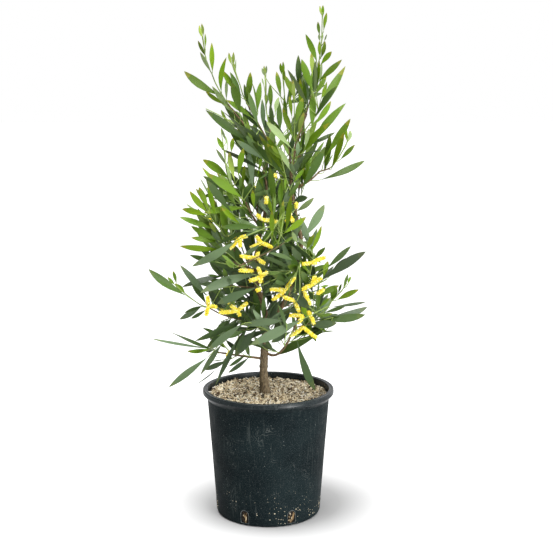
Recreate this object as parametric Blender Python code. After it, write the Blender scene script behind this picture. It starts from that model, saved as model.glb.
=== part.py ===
"""A young acacia in a nursery pot, in metres, +Z up.

The origin is the middle of the pot's flat underside. +X is the viewer's right and -Y is the front.
Stems are smooth curves through a few measured places. Every leafy shoot is one row of a table: where it
leaves its stem, where its furthest leaf tip is, how far it sags, how much of it is bare, how full it is.
"""

import math
import random

import bmesh
import bpy
import numpy as np
from mathutils import Matrix, Vector
from mathutils.geometry import interpolate_bezier

GAP = 0.0003  # what touching pieces keep between them

# ---- the pot: a standard 250 mm nursery pot
POT_SIDES = 48
POT_HEIGHT = 0.247
RIM_RADIUS = 0.1275
SHOULDER_RADIUS = 0.1187  # the wall's outside, where the lip begins
SHOULDER_HEIGHT = 0.2285
BASE_RADIUS = 0.1012
WALL = 0.002
FLOOR = 0.003
BASE_ROUND = 0.004
LIP_BAND = (0.2385, 0.2445)  # the upright outer band of the lip, low and high edge
SLOTS = 7
SLOT_WIDTH = 0.015
SLOT_FOOT = 0.0055
SLOT_HEIGHT = 0.0245
SLOT_ARCH_STEPS = 6

SOIL_TOP = 0.233

# ---- the woody frame: places that each stem runs through, then its radius at each
TRUNK = (
    ((-0.006, 0.000, SOIL_TOP - 0.002), 0.0130),
    ((-0.007, 0.000, 0.246), 0.0090),
    ((-0.009, 0.000, 0.281), 0.0078),
    ((-0.007, 0.000, 0.331), 0.0072),
    ((-0.004, 0.000, 0.390), 0.0068),
)
LEFT_STEM = (
    ((-0.004, 0.000, 0.386), 0.0052),
    ((-0.015, -0.005, 0.427), 0.0050),
    ((-0.026, -0.010, 0.472), 0.0046),
    ((-0.021, -0.010, 0.518), 0.0038),
    ((-0.012, -0.015, 0.565), 0.0030),
    ((-0.002, -0.020, 0.611), 0.0024),
    ((-0.004, -0.020, 0.650), 0.0020),
)
RIGHT_STEM = (
    ((-0.004, 0.000, 0.374), 0.0046),
    ((0.029, 0.005, 0.411), 0.0045),
    ((0.051, 0.010, 0.472), 0.0043),
    ((0.063, 0.010, 0.526), 0.0040),
    ((0.053, 0.010, 0.583), 0.0036),
    ((0.044, 0.010, 0.639), 0.0032),
    ((0.046, 0.010, 0.680), 0.0029),
    ((0.057, 0.010, 0.730), 0.0026),
    ((0.072, 0.010, 0.775), 0.0022),
)
STEM_SIDES = 8
STEM_STEPS = 2  # rings from one measured place to the next

# ---- the leafy shoots. Columns: name; what it grows from; where along that, 0 to 1; its furthest leaf tip;
# how far its middle hangs under a straight line; its bare share, 0 for none; its greatest radius in leaf.
SHOOTS = (
    ("top", "right_stem", 1.00, (0.100, -0.010, 0.970), -0.004, 0.00, 0.022),
    ("upper_right", "right_stem", 0.87, (0.145, -0.010, 0.862), 0.006, 0.00, 0.028),
    ("right_shoulder", "right_stem", 0.80, (0.149, 0.040, 0.796), 0.008, 0.00, 0.028),
    ("bright", "right_stem", 0.74, (0.044, -0.030, 0.861), 0.000, 0.00, 0.030),
    ("mid", "right_stem", 0.67, (0.027, 0.060, 0.876), 0.010, 0.00, 0.032),
    ("sweep", "right_stem", 0.75, (-0.067, -0.030, 0.887), 0.035, 0.32, 0.028),
    ("far_left", "sweep_bough", 0.70, (-0.125, 0.000, 0.939), 0.050, 0.28, 0.023),
    ("pale", "sweep_bough", 0.62, (-0.006, 0.080, 0.871), 0.010, 0.00, 0.024),
    ("left_blade", "far_left_bough", 0.40, (-0.157, 0.010, 0.854), 0.004, 0.00, 0.022),
    ("left_upper", "sweep_bough", 0.34, (-0.113, -0.050, 0.784), -0.008, 0.00, 0.030),
    ("centre", "left_stem", 1.00, (-0.033, -0.040, 0.796), 0.000, 0.00, 0.036),
    ("right_reach", "right_stem", 0.66, (0.159, -0.030, 0.771), 0.030, 0.35, 0.026),
    ("left_fan", "left_stem", 0.66, (-0.084, -0.080, 0.752), 0.025, 0.30, 0.034),
    ("left_fan_low", "left_fan_bough", 0.72, (-0.123, -0.050, 0.685), 0.005, 0.00, 0.022),
    ("left_spread", "left_stem", 0.42, (-0.142, -0.070, 0.637), 0.025, 0.34, 0.032),
    ("left_spread_low", "left_spread_bough", 0.76, (-0.164, -0.040, 0.586), 0.000, 0.00, 0.022),
    ("left_middle", "left_stem", 0.34, (-0.176, 0.060, 0.517), -0.008, 0.30, 0.036),
    ("left_shelf", "left_stem", 0.20, (-0.172, 0.040, 0.460), 0.000, 0.00, 0.034),
    ("low_left", "trunk", 0.92, (-0.225, -0.040, 0.487), 0.026, 0.36, 0.024),
    ("left_front", "left_stem", 0.22, (-0.135, -0.100, 0.446), -0.010, 0.00, 0.036),
    ("lowest_left", "trunk", 0.46, (-0.225, -0.020, 0.349), 0.004, 0.45, 0.022),
    ("left_hanging", "lowest_left_bough", 0.85, (-0.191, -0.050, 0.260), -0.012, 0.00, 0.020),
    ("left_hanging_inner", "lowest_left_bough", 0.50, (-0.104, -0.070, 0.268), -0.012, 0.00, 0.024),
    ("left_low", "trunk", 0.84, (-0.110, -0.065, 0.330), -0.016, 0.00, 0.034),
    ("right_blossom", "trunk", 0.56, (0.103, -0.070, 0.614), 0.100, 0.48, 0.032),
    ("low_right", "right_blossom_bough", 0.60, (0.187, -0.060, 0.416), 0.000, 0.00, 0.030),
    ("right_tip", "right_blossom_bough", 0.93, (0.169, -0.040, 0.473), 0.010, 0.00, 0.020),
    ("right_middle", "right_stem", 0.22, (0.184, -0.020, 0.519), -0.005, 0.22, 0.030),
    ("front_centre", "left_stem", 0.52, (0.044, -0.110, 0.633), 0.015, 0.00, 0.038),
    ("front_low", "trunk", 0.80, (0.040, -0.165, 0.345), -0.018, 0.00, 0.036),
    ("front_left", "left_stem", 0.36, (-0.070, -0.150, 0.500), -0.008, 0.00, 0.040),
    ("front_right", "right_stem", 0.20, (0.060, -0.140, 0.520), 0.004, 0.00, 0.042),
    ("front_upper", "right_stem", 0.62, (0.020, -0.110, 0.720), 0.010, 0.00, 0.036),
    ("back_low_left", "trunk", 0.80, (-0.110, 0.150, 0.340), -0.020, 0.26, 0.036),
    ("back_low_right", "trunk", 0.97, (0.110, 0.150, 0.370), -0.020, 0.26, 0.040),
    ("back_low", "left_stem", 0.11, (-0.010, 0.165, 0.440), -0.008, 0.00, 0.040),
    ("back_left", "left_stem", 0.50, (-0.110, 0.130, 0.580), 0.010, 0.25, 0.036),
    ("back_right", "right_stem", 0.36, (0.115, 0.130, 0.560), 0.010, 0.25, 0.036),
    ("back_middle", "left_stem", 0.72, (-0.005, 0.165, 0.635), 0.012, 0.00, 0.038),
    ("back_upper_left", "right_stem", 0.61, (-0.060, 0.110, 0.760), 0.015, 0.00, 0.034),
    ("back_upper_right", "right_stem", 0.54, (0.072, 0.115, 0.740), 0.015, 0.00, 0.030),
)
BOUGH_SIDES = 7
BOUGH_STEPS = 4
BOUGH_FOOT = 0.0030  # a bough's radius where it leaves its stem
BOUGH_END = 0.0017
LEAF_SIDES = 8
LEAF_STEPS = 6
LEAF_FOOT = 0.0042  # a mass's radius at its foot
LEAF_TIP = 0.0022
SOCKET = 0.001  # how far a mass reaches back over its bough's end
UNEVEN = 0.20  # how far a mass swells and thins round its axis, as a share of its radius
BELLY = 0.75  # under 1 puts a mass's thickest place nearer its foot
BLUNT = 0.8  # under 1 makes a mass's ends blunter
CURVE_POINTS = 33  # points on a shoot's whole curve
CLEAR_OF_LIMBS = 0.0007  # what a mass keeps from a limb that passes through it
TOO_FAR = 1.4  # masses further apart than this many times their radii together can't meet
HULL_STEPS = 400  # the most steps that the search for two hulls' closest points takes

UP = Vector((0.0, 0.0, 1.0))


def material(name, colour, roughness):
    made = bpy.data.materials.new(name)
    made.use_nodes = True
    shader = made.node_tree.nodes["Principled BSDF"]
    shader.inputs["Base Color"].default_value = (*colour, 1.0)
    shader.inputs["Roughness"].default_value = roughness
    return made


def object_from(bm, name, paint):
    """The bmesh as a named object, its faces out and its soft edges smooth."""
    bmesh.ops.recalc_face_normals(bm, faces=bm.faces)
    mesh = bpy.data.meshes.new(name)
    bm.to_mesh(mesh)
    bm.free()
    mesh.materials.append(paint)
    mesh.shade_smooth()
    mesh.set_sharp_from_angle(angle=math.radians(40))
    made = bpy.data.objects.new(name, mesh)
    bpy.context.scene.collection.objects.link(made)
    return made


def hide(helper):
    """A cutter stays in the file as a wire that no render shows."""
    helper.hide_render = True
    helper.display_type = "WIRE"


# ---- the pot and its filling


def wall_outside(height):
    """The plain wall's outer radius at this height: a straight taper from the base to the shoulder."""
    return BASE_RADIUS + (SHOULDER_RADIUS - BASE_RADIUS) * height / SHOULDER_HEIGHT


def pot_profile():
    """(radius, height) from the middle of the underside, up the outside, over the lip, down to the floor."""
    low, high = LIP_BAND
    corner = [
        (
            wall_outside(BASE_ROUND) - BASE_ROUND * (1 - math.sin(turn)),
            BASE_ROUND * (1 - math.cos(turn)),
        )
        for turn in np.linspace(0, math.pi / 2, 4)
    ]
    inside_top = wall_outside(high) - WALL
    lip = [
        (SHOULDER_RADIUS, SHOULDER_HEIGHT),
        (RIM_RADIUS - 0.0009, low - 0.0008),
        (RIM_RADIUS, low),
        (RIM_RADIUS, high),
        (RIM_RADIUS - 0.0015, POT_HEIGHT),
        (inside_top + 0.0015, POT_HEIGHT - 0.0006),
        (inside_top, high - 0.0008),
    ]
    floor = [(wall_outside(FLOOR) - WALL, FLOOR), (0.0, FLOOR)]
    return [(0.0, 0.0), *corner, *lip, *floor]


def turned(profile, sides):
    """A bmesh spun round the Z axis from (radius, height) pairs that start and end on the axis."""
    bm = bmesh.new()
    line = [bm.verts.new((radius, 0.0, height)) for radius, height in profile]
    edges = [bm.edges.new(pair) for pair in zip(line, line[1:])]
    bmesh.ops.spin(
        bm,
        geom=line + edges,
        cent=(0, 0, 0),
        axis=UP,
        angle=math.tau,
        steps=sides,
        use_merge=True,
    )
    bmesh.ops.remove_doubles(bm, verts=bm.verts, dist=1e-6)
    return bm


def slot_cutter(paint):
    """Seven arched blocks that cut the drain slots through the foot of the wall."""
    half = SLOT_WIDTH / 2
    arch_foot = SLOT_FOOT + SLOT_HEIGHT - half
    arch = [
        (half * math.cos(turn), arch_foot + half * math.sin(turn))
        for turn in np.linspace(0, math.pi, SLOT_ARCH_STEPS + 1)
    ]
    outline = [(-half, SLOT_FOOT), (half, SLOT_FOOT), *arch]
    near, far = BASE_RADIUS - 0.012, BASE_RADIUS + 0.012
    bm = bmesh.new()
    for slot in range(SLOTS):
        face = bm.faces.new([bm.verts.new((across, -near, up)) for across, up in outline])
        block = bmesh.ops.extrude_face_region(bm, geom=[face])["geom"]
        grown = [item for item in block if isinstance(item, bmesh.types.BMVert)]
        bmesh.ops.translate(bm, verts=grown, vec=(0, near - far, 0))
        turn = Matrix.Rotation(math.tau * (slot + 0.5) / SLOTS, 3, "Z")
        bmesh.ops.rotate(bm, verts=list(face.verts) + grown, matrix=turn)
    cutter = object_from(bm, "slot_cutter", paint)
    hide(cutter)
    return cutter


def build_pot(paint):
    pot = object_from(turned(pot_profile(), POT_SIDES), "pot", paint)
    cut = pot.modifiers.new("drain slots", "BOOLEAN")
    cut.object = slot_cutter(paint)
    return pot


def build_soil(paint):
    """The potting mix: a plug that fills the pot from its floor to just under the lip."""
    low = FLOOR + GAP
    profile = [
        (0.0, low),
        (wall_outside(low) - WALL - GAP, low),
        (wall_outside(SOIL_TOP) - WALL - GAP, SOIL_TOP),
        (0.0, SOIL_TOP),
    ]
    return object_from(turned(profile, POT_SIDES), "potting_mix", paint)


# ---- limbs and masses, both lofted along an axis


class Axis:
    """A curve through space with a radius at each of its points."""

    def __init__(self, points, radii):
        self.points = [Vector(point) for point in points]
        self.radii = list(radii)
        steps = [(b - a).length for a, b in zip(self.points, self.points[1:])]
        self.along = np.concatenate([[0.0], np.cumsum(steps)]) / sum(steps)

    def place(self, share):
        """The point this far along the curve, 0 at its foot and 1 at its end."""
        columns = np.array(self.points).T
        return Vector([np.interp(share, self.along, column) for column in columns])

    def directions(self):
        """The curve's direction at each point, between its neighbours'."""
        last = len(self.points) - 1
        return [
            (self.points[min(i + 1, last)] - self.points[max(i - 1, 0)]).normalized()
            for i in range(last + 1)
        ]


def smooth_axis(measured, steps):
    """A Catmull-Rom curve through measured places, its radius eased from each to the next."""
    places = [Vector(place) for place, _ in measured]
    radii = [radius for _, radius in measured]
    last = len(places) - 1
    points, thickness = [], []
    for i in range(last):
        before, after = places[max(i - 1, 0)], places[min(i + 2, last)]
        lead_in = (places[i + 1] - before) / 6
        lead_out = (after - places[i]) / 6
        bend = interpolate_bezier(
            places[i], places[i] + lead_in, places[i + 1] - lead_out, places[i + 1], steps + 1
        )
        points += bend[:-1]
        thickness += [radii[i] + (radii[i + 1] - radii[i]) * k / steps for k in range(steps)]
    return Axis([*points, places[-1]], [*thickness, radii[-1]])


def loft(axis, sides, swell=None):
    """A closed bmesh round the axis. swell(share, turn) scales the radius at a place and angle."""
    bm = bmesh.new()
    side = axis.directions()[0].orthogonal().normalized()
    rings = []
    for point, radius, share, ahead in zip(axis.points, axis.radii, axis.along, axis.directions()):
        side = (side - ahead * side.dot(ahead)).normalized()
        across = ahead.cross(side)
        ring = []
        for i in range(sides):
            turn = math.tau * i / sides
            reach = radius * (swell(share, turn) if swell else 1.0)
            offset = side * math.cos(turn) + across * math.sin(turn)
            ring.append(bm.verts.new(point + offset * reach))
        rings.append(ring)
    for lower, upper in zip(rings, rings[1:]):
        for i in range(sides):
            j = (i + 1) % sides
            bm.faces.new((lower[i], lower[j], upper[j], upper[i]))
    bm.faces.new(rings[0])
    bm.faces.new(rings[-1])
    return bm


def cut_flat(bm, height):
    """Cuts a limb off level at this height and closes the cut."""
    everything = [*bm.verts, *bm.edges, *bm.faces]
    foot = bmesh.ops.bisect_plane(
        bm, geom=everything, plane_co=UP * height, plane_no=-UP, clear_outer=True
    )
    rim = [item for item in foot["geom_cut"] if isinstance(item, bmesh.types.BMEdge)]
    bmesh.ops.holes_fill(bm, edges=rim, sides=0)


def widened(axis, extra):
    """The same limb, this much bigger all round and at both ends."""
    ahead = axis.directions()
    foot = axis.points[0] - ahead[0] * extra
    end = axis.points[-1] + ahead[-1] * extra
    return Axis([foot, *axis.points[1:-1], end], [radius + extra for radius in axis.radii])


def shoot_axes(row, foot):
    """A shoot's curve, split into its bare bough and its leafy length."""
    _, _, _, tip, sag, bare, fullness = row
    tip = Vector(tip)
    lean = (tip - foot) / 3
    drop = UP * sag / 0.75  # both handles this low put the curve's middle sag below the straight line
    curve = interpolate_bezier(foot, foot + lean - drop, tip - lean - drop, tip, CURVE_POINTS)
    whole = Axis(curve, [0.0] * CURVE_POINTS)
    bough = None
    if bare:
        shares = np.linspace(0, bare, BOUGH_STEPS + 1)
        thin = np.linspace(BOUGH_FOOT, BOUGH_END, BOUGH_STEPS + 1)
        bough = Axis([whole.place(share) for share in shares], thin)
    start = bare - SOCKET / (tip - foot).length if bare else 0.0
    shares = np.linspace(start, 1, LEAF_STEPS + 1)
    steps = np.linspace(0, 1, LEAF_STEPS + 1)[1:-1]
    swelling = [fullness * math.sin(math.pi * step**BELLY) ** BLUNT for step in steps]
    profile = [LEAF_FOOT, *swelling, LEAF_TIP]
    return bough, Axis([whole.place(share) for share in shares], profile)


def uneven_swell(name):
    """Broad lobes that wind slowly along a mass, its own pattern for each name."""
    rng = random.Random(name)
    first, second, wind = rng.uniform(0, math.tau), rng.uniform(0, math.tau), rng.uniform(-3, 3)

    def swell(share, turn):
        broad = math.sin(2 * turn + first + wind * share)
        fine = math.sin(3 * turn + second - 5 * share)
        return 1 + UNEVEN * (broad + 0.7 * fine)

    return swell


def nearest_gap(first, second):
    """The closest points of two curves' convex hulls, by Gilbert's method on their difference."""
    a, b = np.array(first.points), np.array(second.points)
    on_a, on_b = a[len(a) // 2].copy(), b[len(b) // 2].copy()
    for _ in range(HULL_STEPS):
        apart = on_a - on_b
        far_a, far_b = a[np.argmin(a @ apart)], b[np.argmax(b @ apart)]
        step = apart - (far_a - far_b)
        size = step @ step
        if size < 1e-16:  # square metres: the step has shrunk to nothing
            break
        share = min(max(apart @ step / size, 0.0), 1.0)
        on_a = on_a + share * (far_a - on_a)
        on_b = on_b + share * (far_b - on_b)
    return Vector(on_a), Vector(on_b)


def draw_in(bm, axis, place, outward):
    """Draws the points beyond a plane back to it, each one straight towards its place on the axis."""
    for i, vert in enumerate(bm.verts):
        centre = axis.points[i // LEAF_SIDES]
        beyond = (vert.co - place).dot(outward)
        inside = (place - centre).dot(outward)
        if beyond > 0:
            vert.co = centre + (vert.co - centre) * inside / (inside + beyond)


def part_masses(masses):
    """Keeps each two neighbouring masses on their own sides of a plane between their axes."""
    names = list(masses)
    for i, one in enumerate(names):
        for other in names[i + 1 :]:
            (axis_a, bm_a), (axis_b, bm_b) = masses[one], masses[other]
            near_a, near_b = nearest_gap(axis_a, axis_b)
            apart = near_b - near_a
            full_a, full_b = max(axis_a.radii), max(axis_b.radii)
            if apart.length > TOO_FAR * (full_a + full_b):
                continue
            outward = apart.normalized()
            middle = near_a + apart * full_a / (full_a + full_b)
            draw_in(bm_a, axis_a, middle - outward * GAP / 2, outward)
            draw_in(bm_b, axis_b, middle + outward * GAP / 2, -outward)


def largest_island(bm):
    """Deletes every loose piece but the one with the most room."""
    left, islands = set(bm.verts), []
    while left:
        queue, island = [left.pop()], []
        while queue:
            vert = queue.pop()
            island.append(vert)
            for edge in vert.link_edges:
                other = edge.other_vert(vert)
                if other in left:
                    left.remove(other)
                    queue.append(other)
        islands.append(island)

    def room(island):
        corners = np.array([vert.co for vert in island])
        return float(np.prod(corners.max(axis=0) - corners.min(axis=0)))

    islands.sort(key=room)
    for island in islands[:-1]:
        bmesh.ops.delete(bm, geom=island, context="VERTS")


def carve(target, cutters):
    """Cuts the cutters out of the target for good, and drops the crumbs that this leaves.

    The solver is MANIFOLD, because EXACT loses a whole mass where two limbs meet near its foot.
    """
    for cutter in cutters:
        cut = target.modifiers.new(cutter.name, "BOOLEAN")
        cut.object = cutter
        cut.solver = "MANIFOLD"
    bpy.context.view_layer.update()
    graph = bpy.context.evaluated_depsgraph_get()
    carved = bpy.data.meshes.new_from_object(target.evaluated_get(graph))
    target.modifiers.clear()
    bm = bmesh.new()
    bm.from_mesh(carved)
    largest_island(bm)
    bm.to_mesh(target.data)
    bm.free()
    bpy.data.meshes.remove(carved)


def boxes_meet(first, second):
    """True where the two objects' bounding boxes overlap."""
    a = np.array([vert.co for vert in first.data.vertices])
    b = np.array([vert.co for vert in second.data.vertices])
    return bool((a.min(axis=0) < b.max(axis=0)).all() and (b.min(axis=0) < a.max(axis=0)).all())


def build_plant(wood, leaf):
    """Trunk, stems and boughs, each cut back to a seat on its parent, then the masses round them."""
    limbs = {
        "trunk": smooth_axis(TRUNK, STEM_STEPS),
        "left_stem": smooth_axis(LEFT_STEM, STEM_STEPS),
        "right_stem": smooth_axis(RIGHT_STEM, STEM_STEPS),
    }
    parent_of = {"left_stem": "trunk", "right_stem": "trunk"}
    leafy, seat_of = {}, {}
    for row in SHOOTS:
        name, parent, share = row[:3]
        bough, mass = shoot_axes(row, limbs[parent].place(share))
        if bough:
            limbs[name + "_bough"] = bough
            parent_of[name + "_bough"] = parent
        leafy[name] = (mass, loft(mass, LEAF_SIDES, uneven_swell(name)))
        seat_of[name] = name + "_bough" if bough else parent

    sides = {"trunk": STEM_SIDES, "left_stem": STEM_SIDES, "right_stem": STEM_SIDES}
    made, seats, room = {}, {}, {}
    for name, axis in limbs.items():
        count = sides.get(name, BOUGH_SIDES)
        seats[name] = object_from(loft(widened(axis, GAP), count), name + "_seat", wood)
        room[name] = object_from(loft(widened(axis, CLEAR_OF_LIMBS), count), name + "_room", wood)
        limb = loft(axis, count)
        if name == "trunk":
            cut_flat(limb, SOIL_TOP + GAP)
        made[name] = object_from(limb, name, wood)
    for name, parent in parent_of.items():
        carve(made[name], [seats[parent]])
    carve(made["right_stem"], [seats["left_stem"]])

    part_masses(leafy)
    for name, (_, bm) in leafy.items():
        mass = object_from(bm, name + "_foliage", leaf)
        cutters = [
            seats[limb] if limb == seat_of[name] else room[limb]
            for limb in limbs
            if boxes_meet(mass, room[limb])
        ]
        if cutters:
            carve(mass, cutters)
    for helper in [*seats.values(), *room.values()]:
        bpy.data.objects.remove(helper)


def build():
    for old in list(bpy.data.objects):
        bpy.data.objects.remove(old)
    plastic = material("black nursery plastic", (0.018, 0.022, 0.025), 0.55)
    mix = material("pale bark mulch", (0.46, 0.36, 0.22), 0.95)
    wood = material("grey-brown bark", (0.16, 0.12, 0.08), 0.85)
    leaf = material("acacia leaf", (0.07, 0.16, 0.04), 0.50)
    build_pot(plastic)
    build_soil(mix)
    build_plant(wood, leaf)


build()
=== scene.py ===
# %% [markdown]
# # A young acacia in a nursery pot
#
# The real plant is a wattle about 70 cm tall, grown in a black moulded pot of 25 cm. It has one thin trunk
# that forks low down, long arching shoots, flat lance-shaped leaves, and fuzzy yellow flower spikes.
#
# The plain solids of the plant are already measured and packed as a frame. This script keeps their places
# and puts a finished piece where each one is: after the camera come the pot and its mulch, then the bark,
# the leaves and the blossom, and last the floor and the light.

# %% The frame and the tools
import math
import random

import bmesh
import bpy
import numpy as np
from mathutils import Matrix, Vector, noise
from mathutils.geometry import interpolate_bezier


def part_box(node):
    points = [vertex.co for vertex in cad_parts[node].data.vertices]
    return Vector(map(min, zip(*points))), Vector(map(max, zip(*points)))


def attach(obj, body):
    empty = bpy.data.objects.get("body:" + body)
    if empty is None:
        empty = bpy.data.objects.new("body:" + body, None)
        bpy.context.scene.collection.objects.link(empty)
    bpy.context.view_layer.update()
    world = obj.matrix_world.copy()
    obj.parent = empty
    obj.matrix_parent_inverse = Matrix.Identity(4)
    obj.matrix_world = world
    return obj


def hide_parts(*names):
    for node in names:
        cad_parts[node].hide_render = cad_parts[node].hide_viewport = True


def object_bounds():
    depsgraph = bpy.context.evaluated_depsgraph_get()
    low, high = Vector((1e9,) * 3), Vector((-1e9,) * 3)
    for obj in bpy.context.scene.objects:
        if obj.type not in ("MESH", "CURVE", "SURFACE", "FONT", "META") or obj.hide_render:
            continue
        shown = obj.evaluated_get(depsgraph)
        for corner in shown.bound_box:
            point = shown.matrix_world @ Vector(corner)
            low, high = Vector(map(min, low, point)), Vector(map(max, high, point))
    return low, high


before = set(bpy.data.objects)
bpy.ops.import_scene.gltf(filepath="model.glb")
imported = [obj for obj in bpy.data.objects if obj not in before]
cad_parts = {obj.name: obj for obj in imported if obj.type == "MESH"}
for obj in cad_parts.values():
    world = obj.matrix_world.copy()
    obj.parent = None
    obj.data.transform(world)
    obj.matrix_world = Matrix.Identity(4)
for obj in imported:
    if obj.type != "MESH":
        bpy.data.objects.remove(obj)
cad_low, cad_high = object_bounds()
UP = Vector((0.0, 0.0, 1.0))
scene = bpy.context.scene


def placed(name, data):
    """A new object of the scene that shows this data."""
    made = bpy.data.objects.new(name, data)
    scene.collection.objects.link(made)
    return made


print("the plant fills", [round(side, 3) for side in cad_high - cad_low], "metres")

# %% [markdown]
# ## The camera and helpers
#
# A camera first, so that every later step can be looked at from the place that matters. It stands two
# metres off and a little above the crown's middle, looking slightly down. A long lens keeps the pot's sides
# straight. A camera could also be aimed with a constraint, but two plain numbers say the same.

# %% Camera
CAMERA_PLACE = (0.016, -2.040, 0.795)
CAMERA_DOWN = math.radians(9.17)
LENS_MM = 70.1
SENSOR_MM = 36

lens = bpy.data.cameras.new("camera")
lens.lens = LENS_MM
camera = placed("camera", lens)
camera.location = CAMERA_PLACE
camera.rotation_euler = (math.pi / 2 - CAMERA_DOWN, 0.0, 0.0)
scene.camera = camera
print("the camera looks down by", round(math.degrees(CAMERA_DOWN), 1), "degrees")

# %% Places in the camera's frame, counted from its top left corner, 553 each way
FRAME = 553
REACH = LENS_MM / SENSOR_MM * FRAME  # the lens's length in steps of the frame
CAMERA_TURN = camera.rotation_euler.to_matrix()
FRAME_STEP = 0.00195  # metres at the plant for one step in the frame


def seen(right, down, depth):
    """The place seen at a point of the frame, on the upright plane y = depth."""
    across, up = right - FRAME / 2, FRAME / 2 - down
    way = CAMERA_TURN @ Vector((across / REACH, up / REACH, -1.0))
    start = Vector(CAMERA_PLACE)
    return start + way * ((depth - start.y) / way.y)


def framed(place):
    """Where a place shows in the frame."""
    across, up, back = CAMERA_TURN.transposed() @ (Vector(place) - Vector(CAMERA_PLACE))
    return FRAME / 2 - REACH * across / back, FRAME / 2 + REACH * up / back


print("the trunk's foot shows at", [round(value) for value in framed((-0.006, 0.0, 0.235))])

# %% Making a mesh into a finished piece
def finish_piece(mesh, name, paints, replaced=()):
    """Paints a mesh and puts it on the plant's one body, in place of its plain solids."""
    mesh.name = name
    for paint in paints:
        mesh.materials.append(paint)
    piece = placed(name, mesh)
    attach(piece, "root")
    if replaced:
        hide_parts(*replaced)
    triangles = sum(len(face.vertices) - 2 for face in mesh.polygons)
    print(name, "has", triangles, "triangles")


def smoothed(mesh, degrees):
    """The mesh shaded smooth, but for edges that turn by more than this."""
    mesh.shade_smooth()
    mesh.set_sharp_from_angle(angle=math.radians(degrees))
    return mesh


def mesh_from(bm, name, smooth_under=None):
    """The bmesh as a mesh with its faces turned out."""
    bmesh.ops.recalc_face_normals(bm, faces=bm.faces)
    mesh = bpy.data.meshes.new(name)
    bm.to_mesh(mesh)
    bm.free()
    return smoothed(mesh, smooth_under) if smooth_under else mesh


def made_real(helper):
    """The mesh that a helper's modifiers or bevel make. The helper itself is removed."""
    bpy.context.view_layer.update()
    graph = bpy.context.evaluated_depsgraph_get()
    mesh = bpy.data.meshes.new_from_object(helper.evaluated_get(graph))
    bpy.data.objects.remove(helper)
    return mesh


print("pieces ride on the one body, root")

# %% [markdown]
# ## A short way to write materials
#
# Every finish here is a Principled shader with a few pattern nodes before it. Nodes can be placed by hand
# in the shader editor. In a script the same wiring reads best as one small function that adds a node, sets
# it and links it, so that a finish is written from the pattern's coordinates to the shader, line by line.

# %% Nodes and colours
def linear(red, green, blue):
    """A colour as the eye names it, 0 to 255 a channel, in the linear values that shaders take."""
    return tuple((channel / 255) ** 2.2 for channel in (red, green, blue)) + (1.0,)


def grey(level):
    return (level, level, level, 1.0)


def shader_of(paint):
    return paint.node_tree.nodes["Principled BSDF"]


def new_paint(name, colour, roughness):
    """A Principled material with a plain colour and roughness."""
    paint = bpy.data.materials.new(name)
    paint.use_nodes = True
    shader_of(paint).inputs["Base Color"].default_value = colour
    shader_of(paint).inputs["Roughness"].default_value = roughness
    return paint


def add_node(paint, kind, wires, **settings):
    """Adds a shader node. Wires go to its sockets: an output is linked, anything else is set."""
    made = paint.node_tree.nodes.new("ShaderNode" + kind)
    for name, value in settings.items():
        setattr(made, name, value)
    for socket, value in wires.items():
        if isinstance(value, bpy.types.NodeSocket):
            paint.node_tree.links.new(value, made.inputs[socket])
        else:
            made.inputs[socket].default_value = value
    return made


BLACK, WHITE = grey(0.0), grey(1.0)
print("a colour named 128 is", round(linear(128, 0, 0)[0], 3), "to a shader")

# %% Patterns on the object's own coordinates
def object_place(paint, upright=1.0):
    """Object coordinates. An upright scale under 1 draws a pattern out upwards."""
    place = add_node(paint, "TexCoord", {}).outputs["Object"]
    scale = (1.0, 1.0, upright)
    return add_node(paint, "Mapping", {"Vector": place, "Scale": scale}).outputs["Vector"]


def cloud(paint, place, scale, detail=3.0):
    """Soft noise from 0 to 1."""
    wires = {"Vector": place, "Scale": scale, "Detail": detail}
    return add_node(paint, "TexNoise", wires).outputs["Fac"]


def ramp(paint, factor, *stops):
    """A colour or a grey that follows a factor through its stops of (position, colour)."""
    made = add_node(paint, "ValToRGB", {"Fac": factor})
    band = made.color_ramp
    while len(band.elements) < len(stops):
        band.elements.new(1.0)
    for element, (position, colour) in zip(band.elements, stops):
        element.position = position
        element.color = colour
    return made.outputs["Color"]


def blend(paint, factor, first, second):
    """The first colour where the factor is 0 and the second where it is 1."""
    made = add_node(paint, "Mix", {0: factor, 6: first, 7: second}, data_type="RGBA")
    return made.outputs[2]


def reckon(paint, operation, first, second):
    """Two values put through a Math node."""
    return add_node(paint, "Math", {0: first, 1: second}, operation=operation).outputs[0]


def times(paint, first, second):
    return reckon(paint, "MULTIPLY", first, second)


def ranged(paint, value, low, high, to_low=0.0, to_high=1.0):
    """A value's share of the way from low to high, spread between two others."""
    ends = {"From Min": low, "From Max": high, "To Min": to_low, "To Max": to_high}
    return add_node(paint, "MapRange", {"Value": value, **ends}).outputs["Result"]


print("soft noise, ramps, blends and ranges are ready")

# %% Reaching the shader
def drive(paint, **sources):
    """Links outputs to the shader's sockets, whose names are written with underscores."""
    for name, source in sources.items():
        paint.node_tree.links.new(source, shader_of(paint).inputs[name.replace("_", " ")])


def bumped(paint, height, depth, strength=1.0):
    """Bumps the finish by a height from 0 to 1 that stands for this many metres."""
    bump = add_node(paint, "Bump", {"Height": height, "Distance": depth, "Strength": strength})
    drive(paint, Normal=bump.outputs["Normal"])


def grainy(paint, scale, depth, upright=1.0, detail=3.0, strength=1.0):
    """Bumps the finish by soft noise."""
    place = object_place(paint, upright)
    bumped(paint, cloud(paint, place, scale, detail), depth, strength)


print("colour, roughness and bump can be driven by a pattern")

# %% [markdown]
# ## The pot
#
# The real pot is blow-moulded black plastic: a plain tapered wall, a thick lip that stands 9 mm proud with
# a crease under it, and seven arched drain slots round its foot. A cylinder with loop cuts would do, but
# the lip has a profile worth drawing, so one line of points is spun round the axis. The slots are cut by a
# Boolean.

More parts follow.
